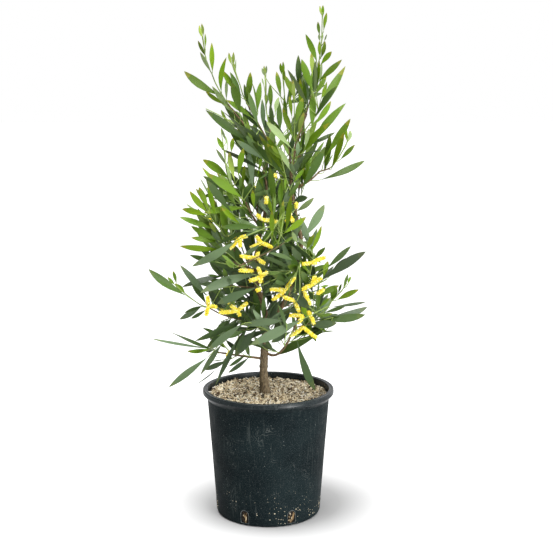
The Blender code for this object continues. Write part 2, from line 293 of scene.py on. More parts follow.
# %% Pot sizes
_, pot_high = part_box("pot")
RIM_RADIUS = pot_high.x
POT_HEIGHT = pot_high.z
WALL = 0.0020
SHOULDER_RADIUS = RIM_RADIUS - 0.0088  # the wall's outside where the lip begins
SHOULDER_HEIGHT = POT_HEIGHT - 0.0185
BASE_RADIUS = RIM_RADIUS - 0.0263
FLOOR_TOP = 0.0030


def wall_outside(height):
    """The wall's outer radius at a height: a straight taper from base to shoulder."""
    return BASE_RADIUS + (SHOULDER_RADIUS - BASE_RADIUS) * height / SHOULDER_HEIGHT


def wall_inside(height):
    return wall_outside(height) - WALL


def arc(centre, radius, start, end, count):
    """Points on an arc in the (radius, height) plane, its angles in degrees."""
    turns = np.radians(np.linspace(start, end, count))
    return [(centre[0] + radius * math.cos(t), centre[1] + radius * math.sin(t)) for t in turns]


print("the pot is", round(2 * RIM_RADIUS, 3), "across its rim and", round(POT_HEIGHT, 3), "tall")

# %% Pot wall and lip, spun from one profile
POT_STEPS = 168
MERGE = 1e-6


def pot_profile():
    """(radius, height) up the outside from under the middle, over the lip and down to the floor."""
    foot_ring = [(0.0, 0.0012), (BASE_RADIUS - 0.014, 0.0012), (BASE_RADIUS - 0.012, 0.0)]
    corner = arc((wall_outside(0.004) - 0.004, 0.004), 0.004, -90, 0, 5)
    wall = [(wall_outside(z), z) for z in np.linspace(0.006, SHOULDER_HEIGHT - 0.0008, 16)]
    crease = arc((SHOULDER_RADIUS + 0.0012, SHOULDER_HEIGHT - 0.0002), 0.0011, 180, 110, 4)
    under_lip = arc((RIM_RADIUS - 0.0016, POT_HEIGHT - 0.0080), 0.0016, -60, 0, 4)
    groove = [(RIM_RADIUS, POT_HEIGHT - 0.0052), (RIM_RADIUS - 0.0003, POT_HEIGHT - 0.0046)]
    outer_bead = arc((RIM_RADIUS - 0.0022, POT_HEIGHT - 0.0020), 0.0020, -10, 110, 7)
    inner = wall_inside(POT_HEIGHT - 0.003)
    land = [(RIM_RADIUS - 0.0042, POT_HEIGHT - 0.0007), (inner + 0.0034, POT_HEIGHT - 0.0009)]
    inner_bead = arc((inner + 0.0014, POT_HEIGHT - 0.0016), 0.0014, 80, 180, 5)
    down = [(wall_inside(z), z) for z in np.linspace(POT_HEIGHT - 0.006, FLOOR_TOP + 0.002, 12)]
    floor = [(wall_inside(FLOOR_TOP) - 0.002, FLOOR_TOP), (0.0, FLOOR_TOP)]
    outside = foot_ring + corner + wall + crease + under_lip + groove + outer_bead
    return outside + land + inner_bead + down + floor


def spun(profile, steps):
    """A bmesh spun round the upright axis from (radius, height) points."""
    bm = bmesh.new()
    line = [bm.verts.new((radius, 0.0, height)) for radius, height in profile]
    edges = [bm.edges.new(pair) for pair in zip(line, line[1:])]
    full = {"angle": math.tau, "steps": steps, "use_merge": True}
    bmesh.ops.spin(bm, geom=line + edges, cent=(0, 0, 0), axis=UP, **full)
    bmesh.ops.remove_doubles(bm, verts=bm.verts, dist=MERGE)
    return bm


pot_mesh = mesh_from(spun(pot_profile(), POT_STEPS), "pot")
print("the spun pot has", len(pot_mesh.polygons), "faces")

# %% Drain slots, cut by arched blocks
SLOTS = 7
SLOT_WIDTH = 0.015
SLOT_FOOT = 0.0055
SLOT_HEIGHT = 0.0245
CUT_DEEP = 0.012  # how far a cutter reaches in and out of the wall
POT_SMOOTH = 35  # degrees


def slot_outline(grow=0.0):
    """(across, up) round one slot: a flat foot, upright sides and a round arch."""
    half = SLOT_WIDTH / 2 + grow
    spring = SLOT_FOOT + SLOT_HEIGHT - SLOT_WIDTH / 2
    return [(-half, SLOT_FOOT - grow), (half, SLOT_FOOT - grow), *arc((0.0, spring), half, 0, 180, 13)]


def slot_turn(slot):
    """Takes what is made at the pot's front round to a slot."""
    return Matrix.Rotation(math.tau * (slot + 0.5) / SLOTS, 3, "Z")


def cut_slots(mesh):
    """The mesh with the seven slots cut through its wall for good."""
    bm = bmesh.new()
    near, far = BASE_RADIUS - CUT_DEEP, BASE_RADIUS + CUT_DEEP
    for slot in range(SLOTS):
        face = bm.faces.new([bm.verts.new((across, -near, up)) for across, up in slot_outline()])
        block = bmesh.ops.extrude_face_region(bm, geom=[face])["geom"]
        grown = [item for item in block if isinstance(item, bmesh.types.BMVert)]
        bmesh.ops.translate(bm, verts=grown, vec=(0, near - far, 0))
        bmesh.ops.rotate(bm, verts=list(face.verts) + grown, matrix=slot_turn(slot))
    cutter = placed("slot_cutter", mesh_from(bm, "slot_cutter"))
    blank = placed("pot_blank", mesh)
    blank.modifiers.new("drain slots", "BOOLEAN").object = cutter
    cut = made_real(blank)
    bpy.data.objects.remove(cutter)
    return cut


pot_mesh = smoothed(cut_slots(pot_mesh), POT_SMOOTH)
print("the slots are", SLOT_WIDTH, "by", SLOT_HEIGHT)

# %% [markdown]
# ### Black plastic that has stood outdoors
#
# New pots are evenly black. A used one is dusty grey in soft patches, has pale curled scuffs, and carries
# specks of dried mix, mostly near its foot. An image could hold all of it. Noise and cell patterns on the
# object's own coordinates need no picture and don't repeat, so the colour is built in layers from those.

# %% Pot finish
def speckles(paint, cell, size, rarity):
    """White on a few cells' middles and black elsewhere: specks of this radius, the rarer the higher."""
    cells = add_node(paint, "TexVoronoi", {"Vector": object_place(paint), "Scale": 1 / cell})
    near = reckon(paint, "LESS_THAN", cells.outputs["Distance"], size / cell)
    lot = add_node(paint, "SeparateColor", {"Color": cells.outputs["Color"]}).outputs["Red"]
    return times(paint, near, reckon(paint, "GREATER_THAN", lot, rarity))


def height_share(paint, low, high):
    """0 at the low height and 1 at the high one."""
    up = add_node(paint, "SeparateXYZ", {"Vector": object_place(paint)}).outputs["Z"]
    return ranged(paint, up, low, high)


def dusty(paint, place):
    """Grey-black in soft patches, with a fine grain and upright streaks."""
    patches = cloud(paint, place, 12.0, 5.0)
    body = ramp(paint, patches, (0.30, linear(16, 24, 27)), (0.72, linear(30, 40, 42)))
    grain = ramp(paint, cloud(paint, place, 1100.0, 1.0), (0.58, BLACK), (0.68, grey(0.6)))
    colour = blend(paint, grain, body, linear(72, 80, 80))
    # Pale upright streaks, lighter than the patches, laid over the whole wall.
    streaks = cloud(paint, object_place(paint, 0.06), 160.0, 4.0)
    pale_streaks = ramp(paint, streaks, (0.60, BLACK), (0.80, grey(0.35)))
    return blend(paint, pale_streaks, colour, linear(86, 92, 90))


def scuffed(paint, place, colour):
    """Thin pale curls, in a few spots only, that a wave bent by noise draws."""
    wave = {"Scale": 30.0, "Distortion": 28.0, "Detail": 2.0, "Detail Scale": 1.4}
    curls = add_node(paint, "TexWave", {"Vector": place, **wave}).outputs["Fac"]
    thin = ramp(paint, curls, (0.90, BLACK), (0.97, WHITE))
    rare = ramp(paint, cloud(paint, place, 22.0), (0.60, BLACK), (0.70, WHITE))
    scuffs = times(paint, times(paint, thin, rare), 0.35)
    return blend(paint, scuffs, colour, linear(104, 108, 105))


def specked(paint, place, colour):
    """Specks of dust all over, and crumbs of mix that huddle near the foot."""
    fine = times(paint, speckles(paint, 0.0022, 0.00035, 0.62), 0.45)
    colour = blend(paint, fine, colour, linear(120, 124, 120))
    dust = times(paint, speckles(paint, 0.0060, 0.0006, 0.80), 0.6)
    colour = blend(paint, dust, colour, linear(150, 154, 150))
    low = height_share(paint, 0.075, 0.025)
    huddled = ramp(paint, cloud(paint, place, 26.0, 1.0), (0.50, BLACK), (0.56, WHITE))
    for cell, size, rarity in ((0.0041, 0.0007, 0.62), (0.0067, 0.0012, 0.80)):
        crumbs = times(paint, times(paint, speckles(paint, cell, size, rarity), low), huddled)
        colour = blend(paint, crumbs, colour, linear(214, 204, 178))
    return colour


pot_paint = new_paint("black_pot_plastic", linear(24, 29, 31), 0.5)
pot_place = object_place(pot_paint)
pot_colour = specked(pot_paint, pot_place, scuffed(pot_paint, pot_place, dusty(pot_paint, pot_place)))
sheen = ramp(pot_paint, cloud(pot_paint, pot_place, 45.0), (0.3, grey(0.40)), (0.7, grey(0.58)))
lip = height_share(pot_paint, SHOULDER_HEIGHT, SHOULDER_HEIGHT + 0.004)
lip_sheen = times(pot_paint, sheen, ranged(pot_paint, lip, 0.0, 1.0, 1.0, 0.6))
lip_gloss = ranged(pot_paint, lip, 0.0, 1.0, 0.04, 0.30)
drive(pot_paint, Base_Color=pot_colour, Roughness=lip_sheen, Specular_IOR_Level=lip_gloss)
grainy(pot_paint, 420.0, 0.0004, detail=4.0, strength=0.5)
finish_piece(pot_mesh, "black_pot", [pot_paint], ["pot"])

# %% [markdown]
# ### Raised rims round the slots
#
# The mould leaves a thin raised bead round each slot, which catches the light. A bevelled curve is the
# shortest way to a bead: the outline is bent round the wall, closed, and given a round section, then made a
# mesh.

# %% Curves made into joined tubes
TUBE_SMOOTH = 60  # degrees


def tubes(name, runs, sides, closed=False):
    """One mesh of round tubes. A run is a list of (place, radius) pairs."""
    curve = bpy.data.curves.new(name, "CURVE")
    curve.dimensions = "3D"
    curve.bevel_depth = 1.0
    curve.bevel_resolution = (sides - 4) // 2
    curve.use_fill_caps = True
    for run in runs:
        spline = curve.splines.new("POLY")
        spline.use_cyclic_u = closed
        spline.points.add(len(run) - 1)
        for point, (place, radius) in zip(spline.points, run):
            point.co = (*place, 1.0)
            point.radius = radius
    bm = bmesh.new()
    bm.from_mesh(made_real(placed(name, curve)))
    bmesh.ops.remove_doubles(bm, verts=bm.verts, dist=MERGE)
    return mesh_from(bm, name, TUBE_SMOOTH)


print("tubes are smooth where they bend by less than", TUBE_SMOOTH, "degrees")

# %% The rims themselves
BEAD = 0.0006
BEAD_OFF = 0.0008  # from the slot's edge to the bead's middle


def bead_run(slot):
    """The slot's outline, a little larger, bent round the wall."""
    run = []
    for across, up in slot_outline(BEAD_OFF):
        out = wall_outside(up)
        place = Vector((out * math.sin(across / out), -out * math.cos(across / out), up))
        run.append((slot_turn(slot) @ place, BEAD))
    return run


# The bead is painted paler than the pot's wall, in soft patches.
bead_paint = new_paint("pale_slot_edge", linear(74, 82, 84), 0.45)
bead_patches = cloud(bead_paint, object_place(bead_paint), 260.0)
bead_colour = ramp(bead_paint, bead_patches, (0.4, linear(48, 54, 56)), (0.7, linear(104, 110, 108)))
drive(bead_paint, Base_Color=bead_colour)
bead_mesh = tubes("slot_beads", [bead_run(slot) for slot in range(SLOTS)], 8, closed=True)
finish_piece(bead_mesh, "slot_beads", [bead_paint])

# %% [markdown]
# ## Potting mix and bark mulch
#
# Under the lip the pot is full of dark mix, and on top lies a layer of pale shredded bark: thousands of
# slivers of 4 to 12 mm. Particles would scatter them, but they don't leave as meshes. One sliver is shaped
# here, and its copies are placed by arrays of numbers and joined, each colour a plain material that is
# dealt out by lot.

# %% The body of the mix
_, mix_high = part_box("potting_mix")
MIX_TOP = mix_high.z
MIX_RINGS = 26
MIX_STEPS = 96
MIX_GAP = 0.0003  # between the mix and the pot
MIX_SINK = 0.0008  # how far the mix stays under the heap of slivers
MIX_SMOOTH = 50  # degrees


def heap(x, y):
    """How far the mulch stands above the mix's plain top: higher at the left, and lumpy all over."""
    left = 0.0030 * (0.5 - 0.5 * math.tanh((x - 0.01) / 0.05))
    lumps = 0.0016 * noise.noise(Vector((x * 45, y * 45, 3.0)))
    return left + lumps + 0.0008 * noise.noise(Vector((x * 160, y * 160, 9.0)))


def mix_body():
    """The plug of mix, its top raised into the heap's shape."""
    foot = FLOOR_TOP + MIX_GAP
    sides = [(wall_inside(z) - MIX_GAP, z) for z in np.linspace(foot, MIX_TOP - 0.004, 12)]
    edge = wall_inside(MIX_TOP) - MIX_GAP
    top = [(edge * ring / MIX_RINGS, MIX_TOP) for ring in range(MIX_RINGS, -1, -1)]
    bm = spun([(0.0, foot), *sides, *top], MIX_STEPS)
    for vert in bm.verts:
        if vert.co.z > MIX_TOP - 0.001:
            vert.co.z += heap(vert.co.x, vert.co.y) - MIX_SINK
    return mesh_from(bm, "mix", MIX_SMOOTH)


mix_paint = new_paint("dark_potting_mix", linear(58, 44, 33), 0.95)
mix_lumps = cloud(mix_paint, object_place(mix_paint), 350.0, 5.0)
mix_stops = ((0.40, linear(14, 11, 9)), (0.56, linear(34, 27, 20)), (0.72, linear(104, 86, 60)))
drive(mix_paint, Base_Color=ramp(mix_paint, mix_lumps, *mix_stops))
grainy(mix_paint, 500.0, 0.0015, detail=4.0)
finish_piece(mix_body(), "potting_mix_body", [mix_paint], ["potting_mix"])

# %% Copies of one shape, joined from arrays
def shape_of(bm):
    """A bmesh as arrays: its points, and its faces as lists of point numbers."""
    bm.verts.index_update()
    points = np.array([vert.co for vert in bm.verts])
    faces = [[vert.index for vert in face.verts] for face in bm.faces]
    bm.free()
    return points, faces


def joined(name, copies, faces, slots, smooth_under=None):
    """One mesh from placed copies of a shape. Slots holds a material for every face of every copy."""
    starts = range(0, len(copies) * len(copies[0]), len(copies[0]))
    corners = [[start + index for index in face] for start in starts for face in faces]
    mesh = bpy.data.meshes.new(name)
    mesh.from_pydata(np.concatenate(copies).tolist(), [], corners)
    mesh.polygons.foreach_set("material_index", np.array(slots, np.int32).ravel())
    return smoothed(mesh, smooth_under) if smooth_under else mesh


def sliver():
    """A chip of bark, 1 long, across and thick: a block pinched at one end and skewed at the other."""
    bm = bmesh.new()
    bmesh.ops.create_cube(bm, size=1.0)
    for vert in bm.verts:
        if vert.co.x > 0:
            vert.co.y *= 0.35
        else:
            vert.co.x += 0.16 * vert.co.y
    return shape_of(bm)


print("a sliver has", len(sliver()[1]), "faces")

# %% Mulch slivers
CHIPS = 4300
MULCH_TONES = (  # name, colour, share
    ("cream", linear(242, 230, 202), 22),
    ("straw", linear(228, 212, 178), 24),
    ("tan", linear(204, 184, 148), 22),
    ("fawn", linear(142, 124, 96), 16),
    ("white_wood", linear(248, 242, 226), 14),
    ("brown", linear(98, 78, 58), 9),
    ("dark", linear(46, 42, 34), 9),
)


def chip_paint(tone, colour):
    """Wood of one plain tone, its grain raised by stretched noise."""
    paint = new_paint("bark_chip_" + tone, colour, 0.88)
    grainy(paint, 1400.0, 0.0003, upright=0.3)
    return paint


def turned_to(yaw, tilt, roll):
    """A turn as an array: a roll about X first, then a tilt about Y, then a yaw about Z."""
    turns = [Matrix.Rotation(angle, 3, axis) for angle, axis in ((yaw, "Z"), (tilt, "Y"), (roll, "X"))]
    return np.array(turns[0] @ turns[1] @ turns[2])


def scatter_chips():
    """Slivers strewn over the heap, each tilted and rolled its own way."""
    rng = random.Random(11)
    points, faces = sliver()
    shares = [share for _, _, share in MULCH_TONES]
    edge = wall_inside(MIX_TOP) - 0.0045
    copies, slots = [], []
    for _ in range(CHIPS):
        out, turn = edge * math.sqrt(rng.random()), rng.uniform(0, math.tau)
        x, y = out * math.cos(turn), out * math.sin(turn)
        long = rng.choice((rng.uniform(0.0040, 0.0075), rng.uniform(0.0060, 0.0125)))
        size = np.array([long, rng.uniform(0.0014, 0.0036), rng.uniform(0.0006, 0.0014)])
        turn = turned_to(rng.uniform(0, math.tau), rng.gauss(0, 0.40), rng.gauss(0, 0.7))
        z = MIX_TOP + heap(x, y) + rng.uniform(-0.0004, 0.0030)
        copies.append(points * size @ turn.T + (x, y, z))
        slots.append([rng.choices(range(len(MULCH_TONES)), shares)[0]] * len(faces))
    return joined("chips", copies, faces, slots)


chip_paints = [chip_paint(tone, colour) for tone, colour, _ in MULCH_TONES]
finish_piece(scatter_chips(), "bark_mulch", chip_paints)

# %% [markdown]
# ### What shows in the drain slots
#
# A plant of this age has roots at every slot, with crumbs of mix caught in them. Each root is a short
# wandering tube that lies against the mix just inside the slot and ends inside it.

# %% Roots and crumbs in the slots
ROOTS_PER_SLOT = 4
CRUMBS_PER_SLOT = 4


def slot_roots():
    """Pale roots that wander up each slot, as one mesh."""
    rng = random.Random(5)
    runs = []
    for slot in range(SLOTS):
        for _ in range(ROOTS_PER_SLOT):
            across = rng.uniform(-0.0038, 0.0038)
            foot, head = SLOT_FOOT + 0.0005, SLOT_FOOT + SLOT_HEIGHT * rng.uniform(0.45, 0.85)
            thick, lean = rng.uniform(0.0004, 0.0010), rng.uniform(-0.4, 0.4)
            run = []
            for up in np.linspace(foot, head, 7):
                sway = across * 0.8 + lean * (up - foot) + rng.gauss(0, 0.0005)
                deep = wall_inside(up) + rng.uniform(-0.0012, 0.0008)
                run.append((slot_turn(slot) @ Vector((sway, -deep, up)), thick))
            runs.append(run)
    return tubes("roots", runs, 6)


def slot_crumbs():
    """Slivers caught among the roots in every slot."""
    rng = random.Random(8)
    points, faces = sliver()
    copies, slots = [], []
    for slot in range(SLOTS):
        for crumb in range(CRUMBS_PER_SLOT):
            across, up = rng.uniform(-0.0042, 0.0042), SLOT_FOOT + rng.uniform(0.001, 0.019)
            deep = wall_inside(up) + rng.uniform(-0.0002, 0.0014)
            size = np.array([rng.uniform(0.002, 0.005), rng.uniform(0.001, 0.0022), 0.0009])
            turn = turned_to(rng.gauss(0, 0.4), rng.uniform(0, math.tau), rng.gauss(0, 0.4))
            place = np.array(slot_turn(slot) @ Vector((across, -deep, up)))
            copies.append(points * size @ turn.T @ np.array(slot_turn(slot)).T + place)
            slots.append([crumb % len(MULCH_TONES)] * len(faces))
    return joined("crumbs", copies, faces, slots)


root_paint = new_paint("pale_root", linear(150, 124, 88), 0.7)
grainy(root_paint, 900.0, 0.0003)
finish_piece(slot_roots(), "slot_roots", [root_paint])
finish_piece(slot_crumbs(), "slot_crumbs", chip_paints)

# %% [markdown]
# ## The woody frame
#
# One trunk, thick as a finger, flares where it meets the mulch and forks 16 cm up. Bark here is grey-brown,
# knobbly where old shoots left scars, and creased lengthways. A skin modifier would grow a mesh round a
# sketch of the branches, but it rounds off the taper. Each limb is a round tube along a smooth curve,
# finely divided, whose points are then pushed in and out by noise that runs lengthways.

# %% Paths through space
HEADING_REACH = 0.02  # of a path's length, to either side


class Path:
    """A line through places, read by its share of the whole length."""

    def __init__(self, places):
        self.places = [Vector(place) for place in places]
        steps = [(b - a).length for a, b in zip(self.places, self.places[1:])]
        self.length = sum(steps)
        self.along = np.concatenate([[0.0], np.cumsum(steps)]) / self.length
        self.columns = np.array(self.places).T

    def at(self, share):
        return Vector([np.interp(share, self.along, column) for column in self.columns])

    def heading(self, share):
        before, after = max(share - HEADING_REACH, 0.0), min(share + HEADING_REACH, 1.0)
        return (self.at(after) - self.at(before)).normalized()


def smooth_path(measured, steps=12):
    """A Catmull-Rom curve through measured places, with the share and radius of each place."""
    places = [Vector(place) for place, _ in measured]
    last = len(places) - 1
    points, marks = [], [0]
    for i in range(last):
        before, after = places[max(i - 1, 0)], places[min(i + 2, last)]
        lead_in, lead_out = (places[i + 1] - before) / 6, (after - places[i]) / 6
        start, end = places[i], places[i + 1]
        points += interpolate_bezier(start, start + lead_in, end - lead_out, end, steps + 1)[:-1]
        marks.append(len(points))
    path = Path([*points, places[-1]])
    return path, path.along[marks], [radius for _, radius in measured]


print("a path turns its heading over", 2 * HEADING_REACH, "of its length")

# %% Trunk and stems: places they run through, and their radius there
TRUNK = (
    ((-0.006, 0.000, MIX_TOP - 0.002), 0.0130),
    ((-0.007, 0.000, 0.246), 0.0090),
    ((-0.009, 0.000, 0.281), 0.0078),
    ((-0.007, 0.000, 0.331), 0.0072),
    ((-0.004, 0.000, 0.390), 0.0068),
)
LEFT_STEM = (
    ((-0.004, 0.000, 0.386), 0.0052),
    ((-0.015, -0.005, 0.427), 0.0050),
    ((-0.026, -0.010, 0.472), 0.0046),
    ((-0.021, -0.010, 0.518), 0.0038),
    ((-0.012, -0.015, 0.565), 0.0030),
    ((-0.002, -0.020, 0.611), 0.0024),
    ((-0.004, -0.020, 0.650), 0.0020),
)
RIGHT_STEM = (
    ((-0.004, 0.000, 0.374), 0.0046),
    ((0.029, 0.005, 0.411), 0.0045),
    ((0.051, 0.010, 0.472), 0.0043),
    ((0.063, 0.010, 0.526), 0.0040),
    ((0.053, 0.010, 0.583), 0.0036),
    ((0.044, 0.010, 0.639), 0.0032),
    ((0.046, 0.010, 0.680), 0.0029),
    ((0.057, 0.010, 0.730), 0.0026),
    ((0.072, 0.010, 0.775), 0.0022),
)
stems = {
    "trunk": smooth_path(TRUNK),
    "left_stem": smooth_path(LEFT_STEM),
    "right_stem": smooth_path(RIGHT_STEM),
}
limbs = {name: path for name, (path, _, _) in stems.items()}
print("the trunk is", round(1000 * limbs["trunk"].length), "mm long to its fork")

# %% Knuckles and stubs
KNUCKLE_STEP = (0.014, 0.030)  # from one old node to the next
KNUCKLE_SWELL = 0.13
KNUCKLE_LONG = 0.0024


def knuckled_run(path, marks, radii, step, rng):
    """A fine run along a path, swollen by a tenth or so at each old node."""
    count = max(int(path.length / step), 4)
    nodes = np.cumsum([rng.uniform(*KNUCKLE_STEP) for _ in range(40)])
    run = []
    for share in np.linspace(0, 1, count):
        from_node = np.abs(nodes - share * path.length).min()
        swell = 1 + KNUCKLE_SWELL * math.exp(-((from_node / KNUCKLE_LONG) ** 2))
        run.append((path.at(share), float(np.interp(share, marks, radii)) * swell))
    return run


def stubs(path, marks, radii, count, rng):
    """Short stubs of lost twigs, as runs for tubes."""
    runs = []
    for _ in range(count):
        share = rng.uniform(0.12, 0.95)
        radius = float(np.interp(share, marks, radii))
        ahead = path.heading(share)
        out = (Matrix.Rotation(rng.uniform(0, math.tau), 3, ahead) @ ahead.orthogonal()).normalized()
        out = (out + 0.5 * ahead).normalized()
        foot = path.at(share)
        reach = radius + rng.uniform(0.0006, 0.0022)
        thick = radius * rng.uniform(0.22, 0.34)
        steps = ((0.0, 1.5), (0.8, 1.0), (1.0, 0.7))
        runs.append([(foot + out * reach * gone, thick * share) for gone, share in steps])
    return runs


def limb_runs(path, marks, radii, step, lost, rng):
    """A limb's own run, and a stub for each of its lost twigs."""
    return [knuckled_run(path, marks, radii, step, rng), *stubs(path, marks, radii, lost, rng)]


print("old nodes lie about", 1000 * sum(KNUCKLE_STEP) / 2, "mm apart")

# %% Bark, raised from plain tubes
CREASES = (650.0, 130.0)  # across the limb and along it, in creases a metre
LUMPS = (180.0, 90.0)


def roughened(mesh, depth):
    """Creases the bark lengthways by pushing each point in or out along its normal."""
    moves = []
    for vert in mesh.vertices:
        x, y, z = vert.co
        crease = noise.noise(Vector((x * CREASES[0], y * CREASES[0], z * CREASES[1])))
        lump = noise.noise(Vector((x * LUMPS[0], y * LUMPS[0], z * LUMPS[1] + 7)))
        moves.append(vert.co + vert.normal * depth * (crease + 0.8 * lump))
    for vert, place in zip(mesh.vertices, moves):
        vert.co = place
    return mesh


def make_bark(name, young, old, pale):
    """Bark from one tone to another in streaks, with pale lichen-grey ridges."""
    paint = new_paint(name, old, 0.9)
    place = object_place(paint, 0.25)
    streaks = ramp(paint, cloud(paint, place, 420.0, 5.0), (0.32, old), (0.62, young))
    ridges = ramp(paint, cloud(paint, place, 900.0), (0.52, BLACK), (0.70, grey(0.7)))
    drive(paint, Base_Color=blend(paint, ridges, streaks, pale))
    grainy(paint, 760.0, 0.0012, 0.25, 5.0)
    return paint


trunk_bark = make_bark("trunk_bark", linear(122, 106, 80), linear(62, 52, 40), linear(146, 134, 106))
stem_bark = make_bark("stem_bark", linear(132, 108, 78), linear(66, 50, 34), linear(150, 134, 104))
rng = random.Random(2)
trunk_runs = limb_runs(*stems["trunk"], 0.0012, 9, rng)
trunk_mesh = roughened(tubes("trunk", trunk_runs, 36), 0.0007)
finish_piece(trunk_mesh, "barked_trunk", [trunk_bark], ["trunk"])
stem_runs = []
for stem in ("left_stem", "right_stem"):
    stem_runs += limb_runs(*stems[stem], 0.0014, 10, rng)
stem_mesh = roughened(tubes("stems", stem_runs, 24), 0.0004)
finish_piece(stem_mesh, "barked_stems", [stem_bark], ["left_stem", "right_stem"])

# %% [markdown]
# ## The shoots
#
# Every long shoot is one row: what it grows from, how far along, the place of its furthest leaf tip, how
# far its middle sags, and how much of it is bare. Its line is a Bezier curve from foot to tip. Two more
# columns say how old its leaves are, 0 for this month's and 1 for the oldest, and how long they grow.

# %% The shoots: name, parent, share along it, tip, sag, bare share, age, leaf length
SHOOTS = (
    ("top", "right_stem", 1.00, (0.100, -0.010, 0.970), -0.004, 0.00, 0.50, 0.075),
    ("upper_right", "right_stem", 0.87, (0.145, -0.010, 0.862), 0.006, 0.00, 0.60, 0.100),
    ("right_shoulder", "right_stem", 0.80, (0.149, 0.040, 0.796), 0.008, 0.00, 0.62, 0.100),
    ("bright", "right_stem", 0.74, (0.044, -0.030, 0.861), 0.000, 0.00, 0.20, 0.070),
    ("mid", "right_stem", 0.67, (0.027, 0.060, 0.876), 0.010, 0.00, 0.65, 0.095),
    ("sweep", "right_stem", 0.75, (-0.067, -0.030, 0.887), 0.035, 0.32, 0.72, 0.105),
    ("far_left", "sweep_bough", 0.70, (-0.125, 0.000, 0.939), 0.050, 0.28, 0.55, 0.085),
    ("pale", "sweep_bough", 0.62, (-0.006, 0.080, 0.871), 0.010, 0.00, 0.60, 0.080),
    ("left_blade", "far_left_bough", 0.40, (-0.157, 0.010, 0.854), 0.004, 0.00, 0.50, 0.090),
    ("left_upper", "sweep_bough", 0.34, (-0.113, -0.050, 0.784), -0.008, 0.00, 0.85, 0.110),
    ("centre", "left_stem", 1.00, (-0.033, -0.040, 0.796), 0.000, 0.00, 0.60, 0.090),
    ("right_reach", "right_stem", 0.66, (0.159, -0.030, 0.771), 0.030, 0.35, 0.55, 0.085),
    ("left_fan", "left_stem", 0.66, (-0.084, -0.080, 0.752), 0.025, 0.30, 0.32, 0.080),
    ("left_fan_low", "left_fan_bough", 0.72, (-0.123, -0.050, 0.685), 0.005, 0.00, 0.35, 0.075),
    ("left_spread", "left_stem", 0.42, (-0.142, -0.070, 0.637), 0.025, 0.34, 0.32, 0.080),
    ("left_spread_low", "left_spread_bough", 0.76, (-0.164, -0.040, 0.586), 0.000, 0.00, 0.32, 0.070),
    ("left_middle", "left_stem", 0.34, (-0.176, 0.060, 0.517), -0.008, 0.30, 0.50, 0.095),
    ("left_shelf", "left_stem", 0.20, (-0.172, 0.040, 0.460), 0.000, 0.00, 0.75, 0.100),
    ("low_left", "trunk", 0.92, (-0.225, -0.040, 0.487), 0.026, 0.36, 0.62, 0.085),
    ("left_front", "left_stem", 0.22, (-0.135, -0.100, 0.446), -0.010, 0.00, 0.95, 0.110),
    ("lowest_left", "trunk", 0.46, (-0.225, -0.020, 0.349), 0.004, 0.45, 0.85, 0.090),
    ("left_hanging", "lowest_left_bough", 0.85, (-0.191, -0.050, 0.260), -0.012, 0.00, 0.95, 0.110),
    ("left_hanging_inner", "lowest_left_bough", 0.50, (-0.104, -0.070, 0.268), -0.012, 0.00, 0.95, 0.100),
    ("left_low", "trunk", 0.84, (-0.110, -0.065, 0.330), -0.016, 0.00, 0.95, 0.110),
    ("right_blossom", "trunk", 0.56, (0.103, -0.070, 0.614), 0.100, 0.48, 0.70, 0.095),
    ("low_right", "right_blossom_bough", 0.60, (0.187, -0.060, 0.416), 0.000, 0.00, 0.75, 0.100),
    ("right_tip", "right_blossom_bough", 0.93, (0.169, -0.040, 0.473), 0.010, 0.00, 0.35, 0.060),
    ("right_middle", "right_stem", 0.22, (0.184, -0.020, 0.519), -0.005, 0.22, 0.85, 0.110),
    ("front_centre", "left_stem", 0.52, (0.044, -0.110, 0.633), 0.015, 0.00, 0.70, 0.100),
    ("front_low", "trunk", 0.80, (0.040, -0.165, 0.345), -0.018, 0.00, 0.95, 0.110),
    ("front_left", "left_stem", 0.36, (-0.070, -0.150, 0.500), -0.008, 0.00, 0.90, 0.110),
    ("front_right", "right_stem", 0.20, (0.060, -0.140, 0.520), 0.004, 0.00, 0.80, 0.100),
    ("front_upper", "right_stem", 0.62, (0.020, -0.110, 0.720), 0.010, 0.00, 0.50, 0.090),
    ("inner_low", "trunk", 0.90, (-0.030, 0.060, 0.470), -0.004, 0.00, 0.95, 0.105),
    ("inner_right", "right_stem", 0.12, (0.055, 0.030, 0.560), 0.000, 0.00, 0.90, 0.105),
    ("inner_left", "left_stem", 0.16, (-0.075, 0.030, 0.580), 0.000, 0.00, 0.85, 0.105),
    ("inner_middle", "left_stem", 0.40, (0.020, 0.040, 0.690), 0.000, 0.00, 0.80, 0.100),
    ("inner_low_left", "trunk", 0.75, (-0.080, 0.055, 0.410), -0.004, 0.00, 0.95, 0.105),
    ("inner_low_right", "trunk", 0.93, (0.085, 0.055, 0.455), -0.004, 0.00, 0.95, 0.105),
    ("inner_front", "left_stem", 0.30, (0.030, -0.050, 0.560), 0.000, 0.00, 0.85, 0.100),
    ("inner_upper", "left_stem", 0.64, (-0.040, 0.050, 0.730), 0.000, 0.00, 0.70, 0.095),
    ("back_low_left", "trunk", 0.80, (-0.110, 0.150, 0.340), -0.020, 0.26, 0.95, 0.110),
    ("back_low_right", "trunk", 0.97, (0.110, 0.150, 0.370), -0.020, 0.26, 0.90, 0.110),
    ("back_low", "left_stem", 0.11, (-0.010, 0.165, 0.440), -0.008, 0.00, 0.90, 0.105),
    ("back_left", "left_stem", 0.50, (-0.110, 0.130, 0.580), 0.010, 0.25, 0.60, 0.100),
    ("back_right", "right_stem", 0.36, (0.115, 0.130, 0.560), 0.010, 0.25, 0.70, 0.100),
    ("back_middle", "left_stem", 0.72, (-0.005, 0.165, 0.635), 0.012, 0.00, 0.70, 0.100),
    ("back_upper_left", "right_stem", 0.61, (-0.060, 0.110, 0.760), 0.015, 0.00, 0.50, 0.090),
    ("back_upper_right", "right_stem", 0.54, (0.072, 0.115, 0.740), 0.015, 0.00, 0.55, 0.090),
)
print(len(SHOOTS), "shoots are in the table")

